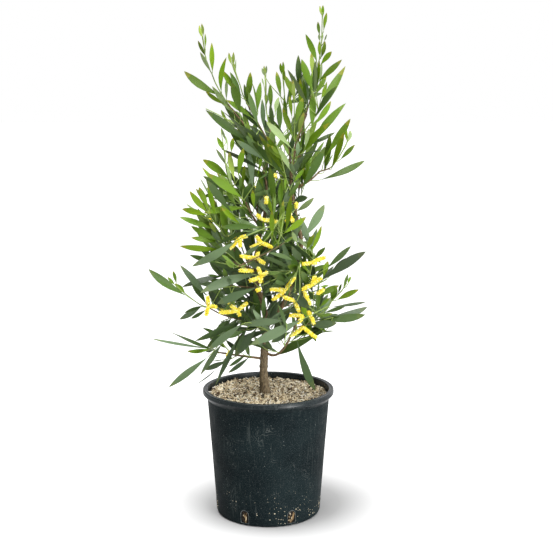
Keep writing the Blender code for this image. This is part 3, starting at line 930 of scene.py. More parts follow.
# %% Where thirteen green stems run in the frame, from the end of the bare wood on
SEEN_STEMS = {
    "far_left": (
        (234, 112), (226, 101), (221, 93), (215, 82), (212, 74), (208, 66),
        (205.5, 57), (202.5, 38), (200.5, 30),
    ),
    "sweep": ((254, 116), (247, 103), (243, 95), (240, 85), (236, 73), (233, 63), (231.5, 57)),
    "pale": ((270, 130), (266, 108), (265.7, 95), (265, 80), (264, 70)),
    "mid": ((288, 130), (285, 100), (283.5, 85), (282.5, 74), (282.5, 66)),
    "bright": ((294, 140), (294.5, 120), (294, 100), (293, 86)),
    "top": (
        (309, 104), (311, 97), (312.5, 90), (315, 80), (318, 66), (320, 55),
        (321.5, 42), (322, 28), (322.3, 12),
    ),
    "upper_right": ((308, 126), (314, 118), (320, 108)),
    "right_shoulder": ((300, 156), (308, 146), (314, 138)),
    "right_reach": ((330, 168), (337, 160), (342, 152), (347, 142), (348, 136)),
    "left_fan": ((238, 195), (233, 188), (229, 180), (226, 168), (224, 150), (221, 130)),
    "left_spread": ((229, 239), (224, 235), (220, 228), (214, 222), (209, 214), (206, 207), (202, 196)),
    "low_left": ((209, 308), (201, 305), (194, 300.5), (187, 296)),
    "right_tip": ((319, 314), (325, 310), (331, 302), (336, 297), (342, 290), (347, 283)),
}
print(len(SEEN_STEMS), "green stems follow places in the frame")

# %% Paths of the shoots, and the bare boughs
BOUGH_RADII = (0.0026, 0.0014)  # at a bare bough's foot and end


def shoot_path(foot, tip, sag):
    """A Bezier curve whose middle hangs by sag under the straight line."""
    tip = Vector(tip)
    lean = (tip - foot) / 3
    drop = UP * sag / 0.75
    return Path(interpolate_bezier(foot, foot + lean - drop, tip - lean - drop, tip, 65))


def seen_path(path, bare, stem):
    """The path's bare part, then the stem through its places in the frame, their depths led to the tip."""
    start = path.at(bare)
    depths = np.linspace(start.y, path.at(1.0).y, len(stem) + 1)[1:]
    green = [start, *(seen(right, down, depth) for (right, down), depth in zip(stem, depths))]
    places = [path.at(share) for share in np.linspace(0, bare, 20)[:-1]] if bare else []
    curve = smooth_path([(place, 0.0) for place in green])[0]
    whole = Path([*places, *curve.places])
    return whole, float(whole.along[len(places)])


shoots = {}
bough_runs = []
for name, parent, share, tip, sag, bare, age, leaf_length in SHOOTS:
    path = shoot_path(limbs[parent].at(share), tip, sag)
    if bare:
        bough = Path([path.at(part) for part in np.linspace(0, bare, 40)])
        limbs[name + "_bough"] = bough
        rng = random.Random(name)
        bough_runs += limb_runs(bough, (0, 1), BOUGH_RADII, 0.0012, 3, rng)
    if name in SEEN_STEMS:
        path, bare = seen_path(path, bare, SEEN_STEMS[name])
    shoots[name] = (path, bare, age, leaf_length)
bough_nodes = [name for name in limbs if name.endswith("_bough")]
bough_mesh = roughened(tubes("boughs", bough_runs, 14), 0.0002)
finish_piece(bough_mesh, "barked_boughs", [stem_bark], bough_nodes)

# %% [markdown]
# ## Leaves
#
# A wattle's leaf is really a flattened stalk, thick and leathery, 8 to 10 cm long and a fifth as wide, with
# its veins side by side along it. A flat card with a picture on it is cheap but has no outline of its own.
# This leaf is a thin closed lens of 54 faces: four strips on top and two below, which share one sharp rim.
# It is kept in units of its own width, length and thickness, so that every leaf on the plant can bend it
# another way.

# %% One leaf as a template
LEAF_ROWS = 9
LEAF_MERGE = 1e-4  # of a leaf's own width and length


def leaf_template():
    """A closed lens: across it -1 to 1, along it 0 to 1, and through it -1 to 1."""
    bm = bmesh.new()
    for columns, side in ((4, 1.0), (2, -1.0)):
        grid = {"x_segments": columns, "y_segments": LEAF_ROWS, "size": 1.0}
        sheet = bmesh.ops.create_grid(bm, **grid)["verts"]
        for vert in sheet:
            across, along = vert.co.x, vert.co.y * 0.5 + 0.5
            inner = 0.0 < along < 1.0
            vert.co = (across, along, side * (1 - across**2) * inner)
        if side < 0:
            under = {face for vert in sheet for face in vert.link_faces}
            bmesh.ops.reverse_faces(bm, faces=list(under))
    bmesh.ops.remove_doubles(bm, verts=bm.verts, dist=LEAF_MERGE)
    for end in (0.0, 1.0):
        row = [vert for vert in bm.verts if abs(vert.co.y - end) < LEAF_MERGE]
        bmesh.ops.pointmerge(bm, verts=row, merge_co=(0.0, end, 0.0))
    return shape_of(bm)


leaf_points, leaf_faces = leaf_template()
ACROSS, ALONG, THROUGH = leaf_points.T
ALONG = 0.45 * ALONG + 0.55 * (0.5 - 0.5 * np.cos(math.pi * ALONG))  # rows lie closer near both ends
face_under = np.array([THROUGH[face].min() < -0.1 for face in leaf_faces])
face_tip = np.array([ALONG[face].mean() > 0.86 for face in leaf_faces]) & ~face_under
print("a leaf has", len(leaf_faces), "faces")

# %% Leaf paints, from the oldest to the youngest
LEAF_TONES = (
    ("deep", (50, 68, 35)),
    ("dark", (66, 90, 38)),
    ("blue", (78, 97, 66)),
    ("grown", (76, 104, 22)),
    ("green", (88, 118, 16)),
    ("fresh", (97, 124, 16)),
    ("young", (130, 150, 64)),
    ("waxy", (98, 118, 84)),
    ("silver", (130, 150, 98)),
)
TONES = [tone for tone, _ in LEAF_TONES]
BRONZED = ("green", "fresh", "young")  # their tips turn bronze
YOUNG_TONES = (*BRONZED, "silver")
SHADES = (0.90, 1.10)
PARTS = 3  # upper face, under face, tip
UNDER = (124, 144, 106)
BRONZE = (150, 128, 44)


def mixed(first, second, share):
    return tuple(a + (b - a) * share for a, b in zip(first, second))


def leaf_paint(name, colour):
    """Leathery leaf of one plain colour, with its veins raised along it."""
    paint = new_paint(name, linear(*(min(channel, 255) for channel in colour)), 0.48)
    shader_of(paint).inputs["Specular IOR Level"].default_value = 0.28
    strip = add_node(paint, "UVMap", {}, uv_map="blade").outputs["UV"]
    wave = {"Vector": strip, "Scale": 1.6, "Distortion": 0.4}
    veins = add_node(paint, "TexWave", wave, bands_direction="X").outputs["Fac"]
    bumped(paint, veins, 0.00015, 0.5)
    return paint


leaf_paints = []
for tone, colour in LEAF_TONES:
    for number, shade in enumerate(SHADES):
        body = tuple(channel * shade for channel in colour)
        label = f"leaf_{tone}_{number}"
        tint = 0.45 if tone in BRONZED else 0.12
        leaf_paints.append(leaf_paint(label, body))
        leaf_paints.append(leaf_paint(label + "_under", mixed(body, UNDER, 0.35)))
        leaf_paints.append(leaf_paint(label + "_tip", mixed(body, BRONZE, tint)))
print(len(leaf_paints), "leaf paints")

# %% Bending the template into one leaf
THICK = 0.00028  # from a leaf's middle plane to its face


def half_width(along, belly):
    """Half a leaf's width along it, as a share of the greatest: a long taper to the foot, a blunter tip."""
    body = np.sin(math.pi * along ** (math.log(0.5) / math.log(belly)))
    power = np.where(along < belly, 1.15, 0.80)
    return np.clip(body, 0.0, 1.0) ** power + 0.06 * (1 - along) ** 3


def bent_leaf(leaf):
    """The template's points, laid along the leaf's curved midline with its blade turned its own way."""
    foot, middle, tip, edge, width, fold, twist, belly, *_ = leaf
    share = ALONG[:, None]
    line = (1 - share) ** 2 * foot + 2 * share * (1 - share) * middle + share**2 * tip
    ahead = (1 - share) * (middle - foot) + share * (tip - middle)
    ahead /= np.linalg.norm(ahead, axis=1)[:, None]
    broad = edge - ahead * (ahead @ edge)[:, None]
    broad /= np.linalg.norm(broad, axis=1)[:, None]
    face = np.cross(broad, ahead)
    angle = twist * (share - 0.4)
    cos, sin = np.cos(angle), np.sin(angle)
    broad, face = broad * cos + face * sin, face * cos - broad * sin
    half = (width / 2 * half_width(ALONG, belly))[:, None]
    lift = THICK * THROUGH[:, None] + fold * np.abs(ACROSS)[:, None] * half
    return line + broad * ACROSS[:, None] * half + face * lift


def leaf_slots(leaf):
    """The paint of each face: the leaf's tone above and below, and its tinted tip."""
    *_, tone, shade = leaf
    base = PARTS * (len(SHADES) * TONES.index(tone) + shade)
    return base + np.where(face_under, 1, 0) + np.where(face_tip, 2, 0)


print("a leaf is", 2000 * THICK, "mm thick")

# %% [markdown]
# ### The leaves that draw the outline
#
# A rule can give a crown the right fullness, but not the one leaf that everybody would miss. The leaves
# that draw the outline and those that lie in front are set one by one. A row holds where the leaf starts
# and where it ends in the camera's frame, how wide it is there, its paint, and how far its middle bows to
# one side. Rows share a depth, give or take two centimetres. A leaf that starts off the wood gets a twig of
# its own, and a long twig bears small leaves as well, because a bare one would look like a wire from the
# side.

# %% Leaves set one by one: depth, then (foot, tip, width, paint, bow) in steps of the frame
SET_LEAVES = (
    (-0.010, (  # far left shoot
        (203, 38, 199.5, 25, 3.2, "young", 1), (203, 37, 201.5, 23.5, 3, "young", -0.6),
        (205.3, 48, 205, 33, 2.4, "fresh", 0), (206, 57, 198, 40.5, 3.4, "fresh", 0.3),
        (212, 74, 200, 52, 4.2, "silver", 0), (212.5, 72, 211.7, 42.5, 5.6, "fresh", 0),
        (221.5, 92, 226.5, 57, 5.4, "green", 3), (222, 96, 184, 71, 8.2, "green", 2.5),
        (226, 105, 205.5, 91, 4.5, "fresh", 1), (234, 114, 212, 86, 6, "silver", 0.5),
        (226.5, 100, 226.5, 79, 3.2, "silver", 0), (252, 118, 226, 100, 6, "green", -1),
        (262, 146, 222, 99, 9.2, "grown", 1),
    )),
    (-0.045, (  # the long dark leaves under it
        (248, 141, 205.5, 110, 8.6, "dark", 1), (264, 160, 236, 140, 6.5, "blue", 0),
        (286, 177, 252, 142, 6.6, "dark", -1), (264, 171, 220.5, 148.5, 4.8, "deep", -1),
    )),
    (-0.025, (  # sweep
        (232.5, 66, 229, 52.5, 3, "young", 0.8), (233, 66, 233.5, 52, 3.4, "young", 0),
        (236, 76, 232.5, 60, 3, "young", 0), (235.5, 72, 236, 59, 1.6, "silver", 0),
        (241, 97, 230, 72, 5.2, "dark", -0.5), (243, 97, 222, 70, 6, "green", 0.8),
        (240, 114, 231.5, 82, 9, "grown", -1), (246, 102, 250.3, 72, 6.5, "green", -1),
        (259, 129, 248.5, 92, 6, "dark", 0), (258, 111, 252.3, 83, 2.6, "green", 0),
        (257, 114, 260.5, 82, 6.2, "grown", 0.5), (250, 112, 244, 84, 4.5, "dark", 0),
    )),
    (0.020, (  # pale and mid shoots
        (265, 76, 262, 68, 2.6, "silver", 0.4), (265.5, 75, 264, 65.5, 2.4, "young", 0.3),
        (266, 75, 266.5, 65.5, 2.4, "silver", 0), (264, 86, 262, 78, 1.6, "silver", 0),
        (266.5, 106, 265.5, 92, 3.2, "fresh", 0), (264, 129, 262, 99, 5.2, "blue", 0),
        (275.5, 114, 279, 97, 4.6, "silver", 1), (281, 99, 276.5, 71.5, 5.2, "green", 0),
        (271, 112, 270, 84, 5, "grown", 0), (273, 132, 270, 104, 5, "dark", 0),
        (282.7, 76, 280.5, 63, 3.2, "green", 0.6), (283, 76, 283, 61.5, 3, "green", -0.3),
        (284, 82, 284.5, 70, 2.6, "fresh", 0), (295, 99, 283.5, 74, 5.6, "fresh", -0.5),
        (280, 132, 279, 100, 6.5, "dark", 0), (287, 130, 284, 95, 5, "grown", 0),
        (290, 104, 291, 80, 4.5, "green", 0), (300, 90, 298.3, 55, 6.8, "dark", 0.5),
        (301, 90, 304.5, 73, 4, "silver", 0), (303, 114, 300, 78, 6, "fresh", 0),
    )),
    (-0.035, (  # bright front leaves of the top
        (292, 149, 266, 121.5, 6.8, "silver", -0.5), (291, 171, 277, 146, 5.6, "silver", -0.5),
        (309, 107, 287.5, 69.5, 5.4, "silver", -0.6), (292, 118, 289.5, 96, 4, "fresh", 0),
        (292, 134, 282.5, 108, 6, "fresh", 0), (294, 102, 293, 80, 4, "young", 0),
        (296, 123, 303, 97.5, 7, "green", 0.5), (298, 137, 304, 112, 5, "young", 0.5),
    )),
    (-0.005, (  # the leader
        (322, 16, 320, 5.5, 2.2, "young", 0.5), (322.5, 19, 323, 5, 3.2, "green", 0),
        (323.5, 32, 326.7, 12.5, 3.8, "fresh", 0.3), (319.8, 36, 318, 21.5, 3.4, "green", 0.3),
        (320, 41, 319, 34, 2.4, "silver", 0.3), (322, 41, 322.5, 33, 2.4, "silver", 0),
        (321, 58, 325, 41, 4.4, "fresh", -0.6), (320.5, 57, 319.5, 41, 3.6, "fresh", 0.6),
        (324, 42, 327, 34, 1.6, "silver", 0), (317, 62, 305.5, 34, 6.2, "grown", -0.5),
        (313, 82, 311.5, 52, 4.2, "young", 0), (320, 66, 331.8, 51.5, 5.6, "green", 0.5),
        (318, 82, 342, 59.5, 6.2, "green", 0), (315, 95, 326.5, 76, 5.2, "green", 0),
        (321, 99, 327, 81.5, 4.2, "fresh", -0.5), (314, 119, 345.5, 66, 9.4, "green", -0.5),
        (314, 125, 331, 101, 6, "green", -1), (312, 91, 301.5, 59, 7.6, "grown", 0),
        (313, 92, 315, 60, 3.4, "dark", 0), (312, 130, 313, 92, 7.2, "grown", 0),
    )),
    (-0.010, (  # right shoulder and reach
        (312, 143, 346, 103, 8.4, "grown", 1), (296, 158, 330, 122.5, 8, "green", 0.5),
        (294, 177, 318.5, 139, 6.8, "grown", -0.8),
        (305, 148, 309, 128, 4.4, "silver", 0), (297, 157, 298, 141, 4, "waxy", 0),
        (290, 154, 293, 138, 5.5, "deep", 0), (326, 156, 350.5, 118.5, 7.6, "green", -0.5),
        (302, 188, 325, 146, 8.8, "dark", -1), (324, 172, 330, 134.5, 7, "grown", -0.6),
        (331, 170, 344, 132, 6, "fresh", -0.8), (340.5, 159.5, 355, 144.5, 4.8, "green", 0),
        (347, 143, 350, 130.5, 4.2, "silver", -1.2), (347, 141, 346.5, 129, 3, "fresh", 0.5),
        (320, 180, 365, 160.5, 6.4, "grown", -1.5), (326, 168, 333, 154, 1.5, "silver", 0),
        (293, 183, 305, 167.5, 4, "green", 0), (284, 205, 301, 179, 4.6, "grown", 0),
    )),
    (-0.030, (  # middle of the crown
        (293.5, 201.5, 307.8, 197.5, 7, "deep", 0.6), (297, 211, 314, 197.5, 5.6, "silver", -0.8),
        (302, 240, 324.5, 204.5, 9.4, "waxy", -1), (253, 213, 266, 166, 8.2, "dark", 0.5),
        (273.5, 208, 269.5, 166, 7, "grown", -0.8), (246, 205, 255, 163, 3.4, "waxy", 0.5),
        (257, 178, 262, 152, 2.2, "green", 0), (241, 203, 251, 183, 7, "dark", 0),
        (280, 208, 281, 181, 5.5, "grown", 0), (284, 192, 279, 173, 3, "fresh", -0.5),
        (285, 192, 285.5, 176, 2.6, "green", 0), (254, 209, 252.5, 190, 4.4, "fresh", 0),
        (246, 227, 240, 205, 6, "dark", 0), (238, 214, 236, 193, 7, "dark", 0),
        (264, 190, 258, 170, 4, "green", 0), (263, 237, 263.5, 220, 3.4, "fresh", 0),
    )),
    (-0.075, (  # bright leaves in front of the middle
        (283, 234, 306, 217, 6.6, "fresh", -0.5), (281, 236, 283.5, 200, 5.8, "fresh", 0.5),
        (286, 230, 291.5, 195, 5.8, "fresh", -0.3), (272, 238, 272, 210, 5.4, "fresh", 0),
        (275, 238, 278, 248, 6.8, "green", 0),
    )),
    (-0.055, (  # left fan
        (224.5, 151, 217, 137, 4.6, "green", 0), (226, 141, 221, 127.5, 2.4, "silver", 0),
        (228, 147, 225.5, 136, 2, "silver", 0), (231, 153, 233, 138, 4.6, "fresh", 0),
        (227, 167, 216, 149, 3.6, "silver", -0.5), (235, 182, 229, 151, 5.8, "young", 0.6),
        (232, 187, 226, 163, 3.6, "silver", 0), (238, 178, 243.5, 148, 6.4, "green", 0.6),
        (243, 190, 245, 165, 3.6, "fresh", 0.5), (231, 181, 202.5, 159.5, 8.4, "green", -1.5),
        (224, 192, 202, 167, 5, "fresh", 0.3), (241, 197, 207, 173, 8.2, "green", 0),
        (227, 185, 217, 173, 3.6, "young", 0), (228, 194, 203, 176, 5.2, "dark", -0.8),
        (211, 200, 200, 178, 1.6, "silver", -0.5), (233, 214, 206, 180, 8.4, "dark", 0),
        (222, 206, 220, 184, 5, "grown", 0), (236, 206, 226, 188, 5, "green", 0),
    )),
    (-0.065, (  # left spread
        (205, 200, 196, 188.5, 3.6, "young", 0.3), (209.5, 211, 199, 187, 6.2, "fresh", 0.3),
        (215, 216, 208, 184, 5.2, "green", 0), (207, 212, 189.5, 191, 6.4, "fresh", 0.5),
        (209, 216, 182, 209, 6.6, "fresh", -0.5), (203, 217, 186, 204, 1.6, "silver", 0),
        (216, 230, 179.5, 217, 6, "grown", -0.3), (218, 241, 191, 226, 6.4, "grown", 0.5),
        (221, 231, 214, 199, 6.4, "fresh", 0.3), (227, 236, 221, 206, 8.4, "green", -0.5),
        (241, 225, 222, 208, 5.4, "fresh", 0), (257, 227, 219.5, 227, 6.8, "dark", -0.8),
        (220, 241, 191, 237.5, 6.2, "green", 0.3), (219, 249.5, 179.5, 246, 6.6, "fresh", 0.6),
        (216, 262, 189.5, 255, 5.6, "dark", 0.5), (240, 273, 203, 253, 7.8, "dark", 0.5),
        (232, 238, 228, 212, 4, "silver", 0),
    )),
    (-0.020, (  # left middle, dark
        (207, 296, 180, 265, 7.2, "blue", 0), (228, 275, 182, 287, 5.4, "deep", -1.5),
        (222, 277, 207, 275, 2.6, "dark", 0), (206, 304, 191, 282, 7, "dark", -1),
        (250, 302, 222, 287, 9.5, "deep", 0), (221, 309, 212, 288, 9.8, "dark", 0.5),
        (260, 320, 254, 290, 7, "dark", 0), (248, 292, 232, 272, 9, "deep", 0),
        (244, 272, 236, 246, 7, "dark", 0), (258, 300, 244, 282, 9, "deep", 0),
    )),
    (-0.095, (  # waxy leaves in front at the left
        (236, 241, 192, 266.5, 8.8, "waxy", 1), (257, 274, 200, 293, 10.4, "waxy", -2.4),
        (258, 287, 217, 304, 8.8, "blue", -0.5), (242, 324, 207, 351, 7.8, "waxy", 0),
        (262, 243, 244, 256, 4.6, "blue", 0),
    )),
    (-0.035, (  # low left shoot
        (187, 296, 148.5, 269, 8, "dark", 2), (185, 293, 175, 283.5, 5.6, "green", 0),
        (176.5, 284, 173, 271, 3.6, "green", -0.3), (175, 285, 167.5, 277, 3.2, "green", 0),
        (224, 309, 208.5, 290, 7.5, "deep", 0.5), (226, 300, 211, 286, 6.0, "dark", 0),
        (202, 306, 179.5, 319.5, 6.2, "waxy", 0.5), (203, 306, 184, 313, 3.5, "dark", -0.5),
        (207, 309, 191, 318.5, 4, "deep", 0.5), (240, 321, 195, 341, 6.6, "deep", 0.8),
        (222, 338, 202.5, 328, 4, "dark", -1), (246, 318, 226, 314, 4, "dark", 0),
    )),
    (-0.030, (  # lowest left
        (212, 349, 168.5, 331, 4.2, "dark", 1.2), (213, 349, 151, 338.5, 2.8, "blue", 1.2),
        (213, 348, 187, 351, 4.4, "green", 1.5), (238, 318, 222, 337, 3.8, "dark", 0.5),
        (222, 344, 200, 375.5, 6.4, "waxy", -1), (208, 357, 168.5, 387.5, 7.4, "blue", 0),
        (229, 360, 205, 370, 6, "blue", 0), (226, 359.5, 212, 361, 1.2, "dark", 0),
        (218, 367, 193.5, 386, 1.8, "waxy", 1.5), (250, 356.5, 228, 373, 4.8, "blue", 0.5),
    )),
    (-0.070, (  # hanging from the middle at the left
        (237, 340, 215.5, 385.5, 5.8, "blue", 0.5), (257, 328, 234.5, 356, 9.8, "blue", 0),
        (247, 328, 235, 352, 4.6, "deep", 0), (262, 338, 247.5, 346, 3.6, "dark", 0),
        (263, 347, 254, 337, 5, "waxy", 0),
    )),
    (-0.105, (  # waxy leaves in front of the trunk
        (284, 321, 241.5, 325, 8, "waxy", -0.8), (295, 303, 261.5, 327.5, 8.2, "waxy", 1.5),
        (301, 320, 250, 345, 10, "waxy", 0.5), (292, 331, 271, 342.5, 6.2, "blue", 0),
    )),
    (-0.095, (  # hanging leaves in the middle
        (279.5, 240, 291, 283.5, 9.8, "blue", -0.8), (278, 243, 264.5, 268, 6.6, "blue", -0.3),
        (281, 243, 286.5, 236, 3.2, "deep", 0), (284, 243, 292.5, 237, 3, "green", 0),
        (287, 242, 313, 260, 4, "deep", 0.4), (290, 291, 309, 308, 9.2, "deep", 0),
    )),
    (-0.055, (  # right of the middle
        (317, 257, 293, 235, 3.2, "silver", -0.4), (297, 243, 292, 231.5, 4.6, "silver", 0),
        (306, 250, 314, 234, 5, "fresh", 0), (309, 250, 317, 228.5, 4.6, "waxy", -0.3),
        (311, 252, 321.5, 225.5, 4.4, "fresh", -0.6), (303, 264, 292, 246, 9, "dark", 0),
        (308, 272, 300, 260, 4, "green", 0), (310, 286, 301, 271, 7, "grown", 0),
        (313, 284, 313, 265, 5.6, "deep", 0), (322.5, 279, 328, 261, 5.6, "fresh", 0),
        (314, 259, 325.5, 247, 4.8, "grown", 0), (327, 268, 351, 246, 5.8, "dark", 0),
        (321, 281, 366, 251.5, 9.6, "deep", 1), (320, 296, 339, 285.5, 6.6, "green", 0.8),
        (320, 287, 329, 285.5, 2.4, "green", 0), (303, 300, 296, 276, 8, "deep", 0),
    )),
    (-0.045, (  # right tip shoot and what spreads under it
        (331.5, 302, 336.5, 287, 7.6, "grown", 0.6), (338, 294, 341.5, 283.5, 2.6, "grown", 0),
        (343, 289, 348, 274, 3.2, "grown", 0), (348, 284, 351, 276.5, 2.8, "green", 0.5),
        (337, 300, 359, 289.5, 6, "fresh", 0.3),
        (317, 312, 319, 290, 4.8, "grown", 0), (329, 307.5, 366, 302, 2.6, "waxy", -0.3),
        (322, 313.5, 345, 306.5, 4, "dark", 0), (315, 320, 368, 306.5, 7, "blue", -3.5),
        (314, 319, 365.5, 314.5, 7.6, "dark", -2.5), (317, 316, 332.5, 313.5, 3.8, "green", -0.4),
        (309, 325, 337, 323, 8.8, "blue", -0.5), (313, 323, 327, 332, 3.2, "green", 0),
        (312, 334, 335, 331, 1.6, "silver", 0), (324, 332, 277, 355, 8.8, "dark", -1.3),
        (305, 325, 316.5, 342, 4.2, "grown", 0.5), (296.5, 337, 315.5, 390.5, 8, "deep", -2.5),
        (308, 318, 301.5, 304.5, 5.6, "fresh", 0),
    )),
    (0.005, (  # close round the leader
        (315, 96, 316.2, 60, 4.4, "silver", 0), (316.5, 92, 319.5, 60, 3.6, "green", 0),
        (319.5, 86, 322, 62, 3.0, "silver", 0), (314.5, 117, 337, 86, 6.5, "dark", 0.6),
        (306, 106, 303.5, 80, 4.2, "grown", 0),
    )),
    (-0.040, (  # dark leaves low at the left, behind the waxy ones
        (248, 326, 231, 353, 5.0, "deep", 0), (240, 352, 226, 340, 5.0, "deep", 0.5),
        (226, 348, 219, 343, 3.4, "green", 0), (246, 330, 226, 338, 5.5, "dark", 0),
        (262, 322, 246, 331, 6.0, "deep", 0), (236, 262, 226, 242, 6.5, "dark", 0),
        (262, 236, 258, 216, 6.0, "dark", 0), (250, 216, 243, 200, 6.0, "grown", 0),
    )),
    (-0.030, (  # low at the right, behind the blossom
        (319, 308, 329.5, 298, 3.8, "green", 0.3), (309, 337, 323, 331, 3.5, "dark", 0),
        (313, 293, 307, 276, 6.0, "deep", 0), (316, 302, 308, 290, 5.0, "dark", 0),
        (314, 278, 326, 268, 4.5, "deep", 0), (330, 276, 346, 258, 5.0, "deep", 0.5),
    )),
)
print(sum(len(rows) for _, rows in SET_LEAVES), "leaves are in the table")

# %% What a leaf hangs from
SHORT_TWIG = 0.003  # the shortest that is made
LONG_TWIG = 0.035  # from here on it bears small leaves too
BARKED_TWIG = 0.09  # and from here on it is barked
TWIG_STEPS = 9
leaves = []
twig_runs, green_runs, long_twigs = [], [], []
carried = dict.fromkeys(shoots, 0.0)  # how far along each shoot something hangs


def nearest_wood(place, held=False):
    """The nearest point of any stem or shoot, short of its tip. Held, it makes a shoot's stem reach there."""
    nearest, found = math.inf, None
    for name, path in [*limbs.items(), *((name, shoot[0]) for name, shoot in shoots.items())]:
        gaps = np.linalg.norm(path.columns.T[:-4] - np.array(place), axis=1)
        number = int(gaps.argmin())
        if gaps[number] < nearest:
            nearest, found = gaps[number], (name, path, number)
    name, path, number = found
    if held and name in carried:
        carried[name] = max(carried[name], path.along[number])
    return path.places[number]


def twig_to(foot, ahead):
    """A twig from the wood behind a leaf's foot, in line with the leaf where they meet."""
    reach = (foot - nearest_wood(foot)).length
    wood = nearest_wood(foot - ahead * reach, held=True)
    gap = (foot - wood).length
    if gap > SHORT_TWIG:
        leave, arrive = wood.lerp(foot, 0.4), foot - ahead * gap * 0.3
        run = interpolate_bezier(wood, leave, arrive, foot + ahead * 0.002, TWIG_STEPS)
        thick = np.linspace(0.0007 + 0.006 * gap, 0.0006, TWIG_STEPS)
        (twig_runs if gap > BARKED_TWIG else green_runs).append(list(zip(run, thick)))
        if gap > LONG_TWIG:
            long_twigs.append(run)


print("a leaf's own twig bears small leaves from", LONG_TWIG, "metres on")

# %% Setting those leaves
SEEN_SHARE = 0.92  # of the width in its row, since a blade's thickness adds to what shows
USUAL_WIDTH = 0.18  # of a leaf's length
MOST_TURNED = 0.38  # the least share of its width that a turned blade shows
DEEPEST = 0.174  # how far any leaf reaches to the front or the back


def hold_leaf(foot, middle, tip, edge, width, tone, shade, rng):
    """Puts one leaf on the list, with a fold, a twist and a belly of its own."""
    spine = [np.array(place) for place in (foot, middle, tip, edge)]
    bend = (rng.uniform(-0.05, 0.28), rng.gauss(0, 0.40), rng.uniform(0.50, 0.62))
    leaves.append((*spine, width, *bend, tone, shade))


def set_leaf(row, depth, rng):
    """One leaf from its places in the frame. If it looks narrow there, its blade is turned aside."""
    right, down, end_right, end_down, wide, tone, bow = row
    long = math.hypot(end_right - right, end_down - down)
    foot = seen(right, down, depth + rng.uniform(-0.020, 0.020))
    length = long * FRAME_STEP
    tip = seen(end_right, end_down, max(foot.y + length * rng.uniform(-0.50, 0.45), -DEEPEST))
    bent = 2 * bow / long
    middle_right = (right + end_right) / 2 + (end_down - down) * bent
    middle_down = (down + end_down) / 2 - (end_right - right) * bent
    middle_depth = (foot.y + tip.y) / 2 - length * rng.uniform(-0.04, 0.10)
    middle = seen(middle_right, middle_down, middle_depth)
    ahead = (tip - foot).normalized()
    width = SEEN_SHARE * wide * FRAME_STEP
    turned = math.acos(min(max(width / (USUAL_WIDTH * (tip - foot).length), MOST_TURNED), 1.0))
    roll = turned * rng.choice((-1, 1)) + rng.uniform(-0.15, 0.15)
    flat_on = (foot - Vector(CAMERA_PLACE)).cross(ahead).normalized()
    edge = Matrix.Rotation(roll, 3, ahead) @ flat_on
    hold_leaf(foot, middle, tip, edge, width / math.cos(roll), tone, rng.randrange(2), rng)
    twig_to(foot, ahead)


rng = random.Random(21)
for depth, rows in SET_LEAVES:
    for row in rows:
        set_leaf(row, depth, rng)
print(len(leaves), "leaves are set one by one")

# %% [markdown]
# ### Where the flowers hang
#
# The flowers are made last, but where they hang is settled now, so that no leaf grows in front of them.
# Where a stalk ends is given as the place that the camera sees at a point of its frame, counted from the
# top left corner, 553 each way, and at a depth. The stalk itself grows from whichever stem is nearest to
# that place.

# %% Flower heads: where each stalk ends, its depth, and where its rods end
HEADS = (
    ((263, 220), -0.07, ((256.5, 214), (278, 222))),
    ((266, 204), -0.06, ((266.7, 196.5),)),
    ((275, 178), -0.04, ((275.5, 173.5),)),
    ((290, 216), -0.065, ((286, 222), (293.5, 222), (288.5, 209))),
    ((296.5, 208), -0.05, ((296.5, 203),)),
    ((261, 243), -0.08, ((256, 236), (250, 247.5), (272.6, 248))),
    ((240, 238), -0.08, ((240, 247.5), (247.5, 236), (230, 249))),
    ((257, 258), -0.09, ((240, 256), (265, 263.6), (258.5, 252))),
    ((261.5, 276), -0.10, ((258, 267), (268, 272), (249, 281), (260, 283))),
    ((285.5, 290), -0.10, ((270, 289.6), (295, 277), (272, 300))),
    ((294, 300), -0.10, ((283, 296.5), (299, 312))),
    ((311, 263), -0.06, ((302, 264), (317, 263), (325.7, 257.4))),
    ((312, 285), -0.07, ((315, 276), (321.5, 278), (302, 290))),
    ((304, 291), -0.07, ((311, 305),)),
    ((317, 294), -0.07, ((324, 289),)),
    ((303.5, 316), -0.08, ((287.5, 316), (298, 324))),
    ((311, 317), -0.08, ((308, 311), (314, 324.5))),
    ((303, 327), -0.08, ((290, 336), (317, 338))),
    ((208.5, 306), -0.06, ((207.7, 296), (206, 316), (217, 307))),
    ((237.5, 311), -0.07, ((219, 312.5), (230.7, 305.6), (247.5, 302.6), (240, 316))),
    ((230, 351), -0.06, ((227, 356.6),)),
    ((253.6, 271), -0.09, ((238.7, 270.4),)),
    ((261, 289), -0.10, ((256, 291),)),
)
BACK_HEADS = (
    ("back_low", 0.45), ("back_low", 0.7), ("back_left", 0.5), ("back_left", 0.7),
    ("back_left", 0.3), ("back_middle", 0.5), ("back_low_left", 0.5), ("back_low_right", 0.45),
    ("back_low_right", 0.65), ("back_middle", 0.75), ("back_low_left", 0.7),
)
stalk_feet = [nearest_wood(seen(*head, depth), held=True) for head, depth, _ in HEADS]
for name, share in BACK_HEADS:
    carried[name] = max(carried[name], share)
print(len(HEADS), "flower heads in front, and", len(BACK_HEADS), "at the back")

# %% Spots of the frame that stay clear, for those heads and for the leaves already set
SPOT_SHARES = (0.2, 0.4, 0.6, 0.8, 1.0)
set_spots = []
for foot, _, tip, *_ in leaves:
    for share in SPOT_SHARES:
        spot = Vector(foot).lerp(Vector(tip), share)
        set_spots.append((*framed(spot), spot.y))
for head, depth, tips in HEADS:
    for tip in tips:
        for share in SPOT_SHARES:
            right, down = (a + (b - a) * share for a, b in zip(head, tip))
            set_spots.append((right, down, depth))
set_spots = np.array(set_spots)
print(len(set_spots), "spots to keep clear")

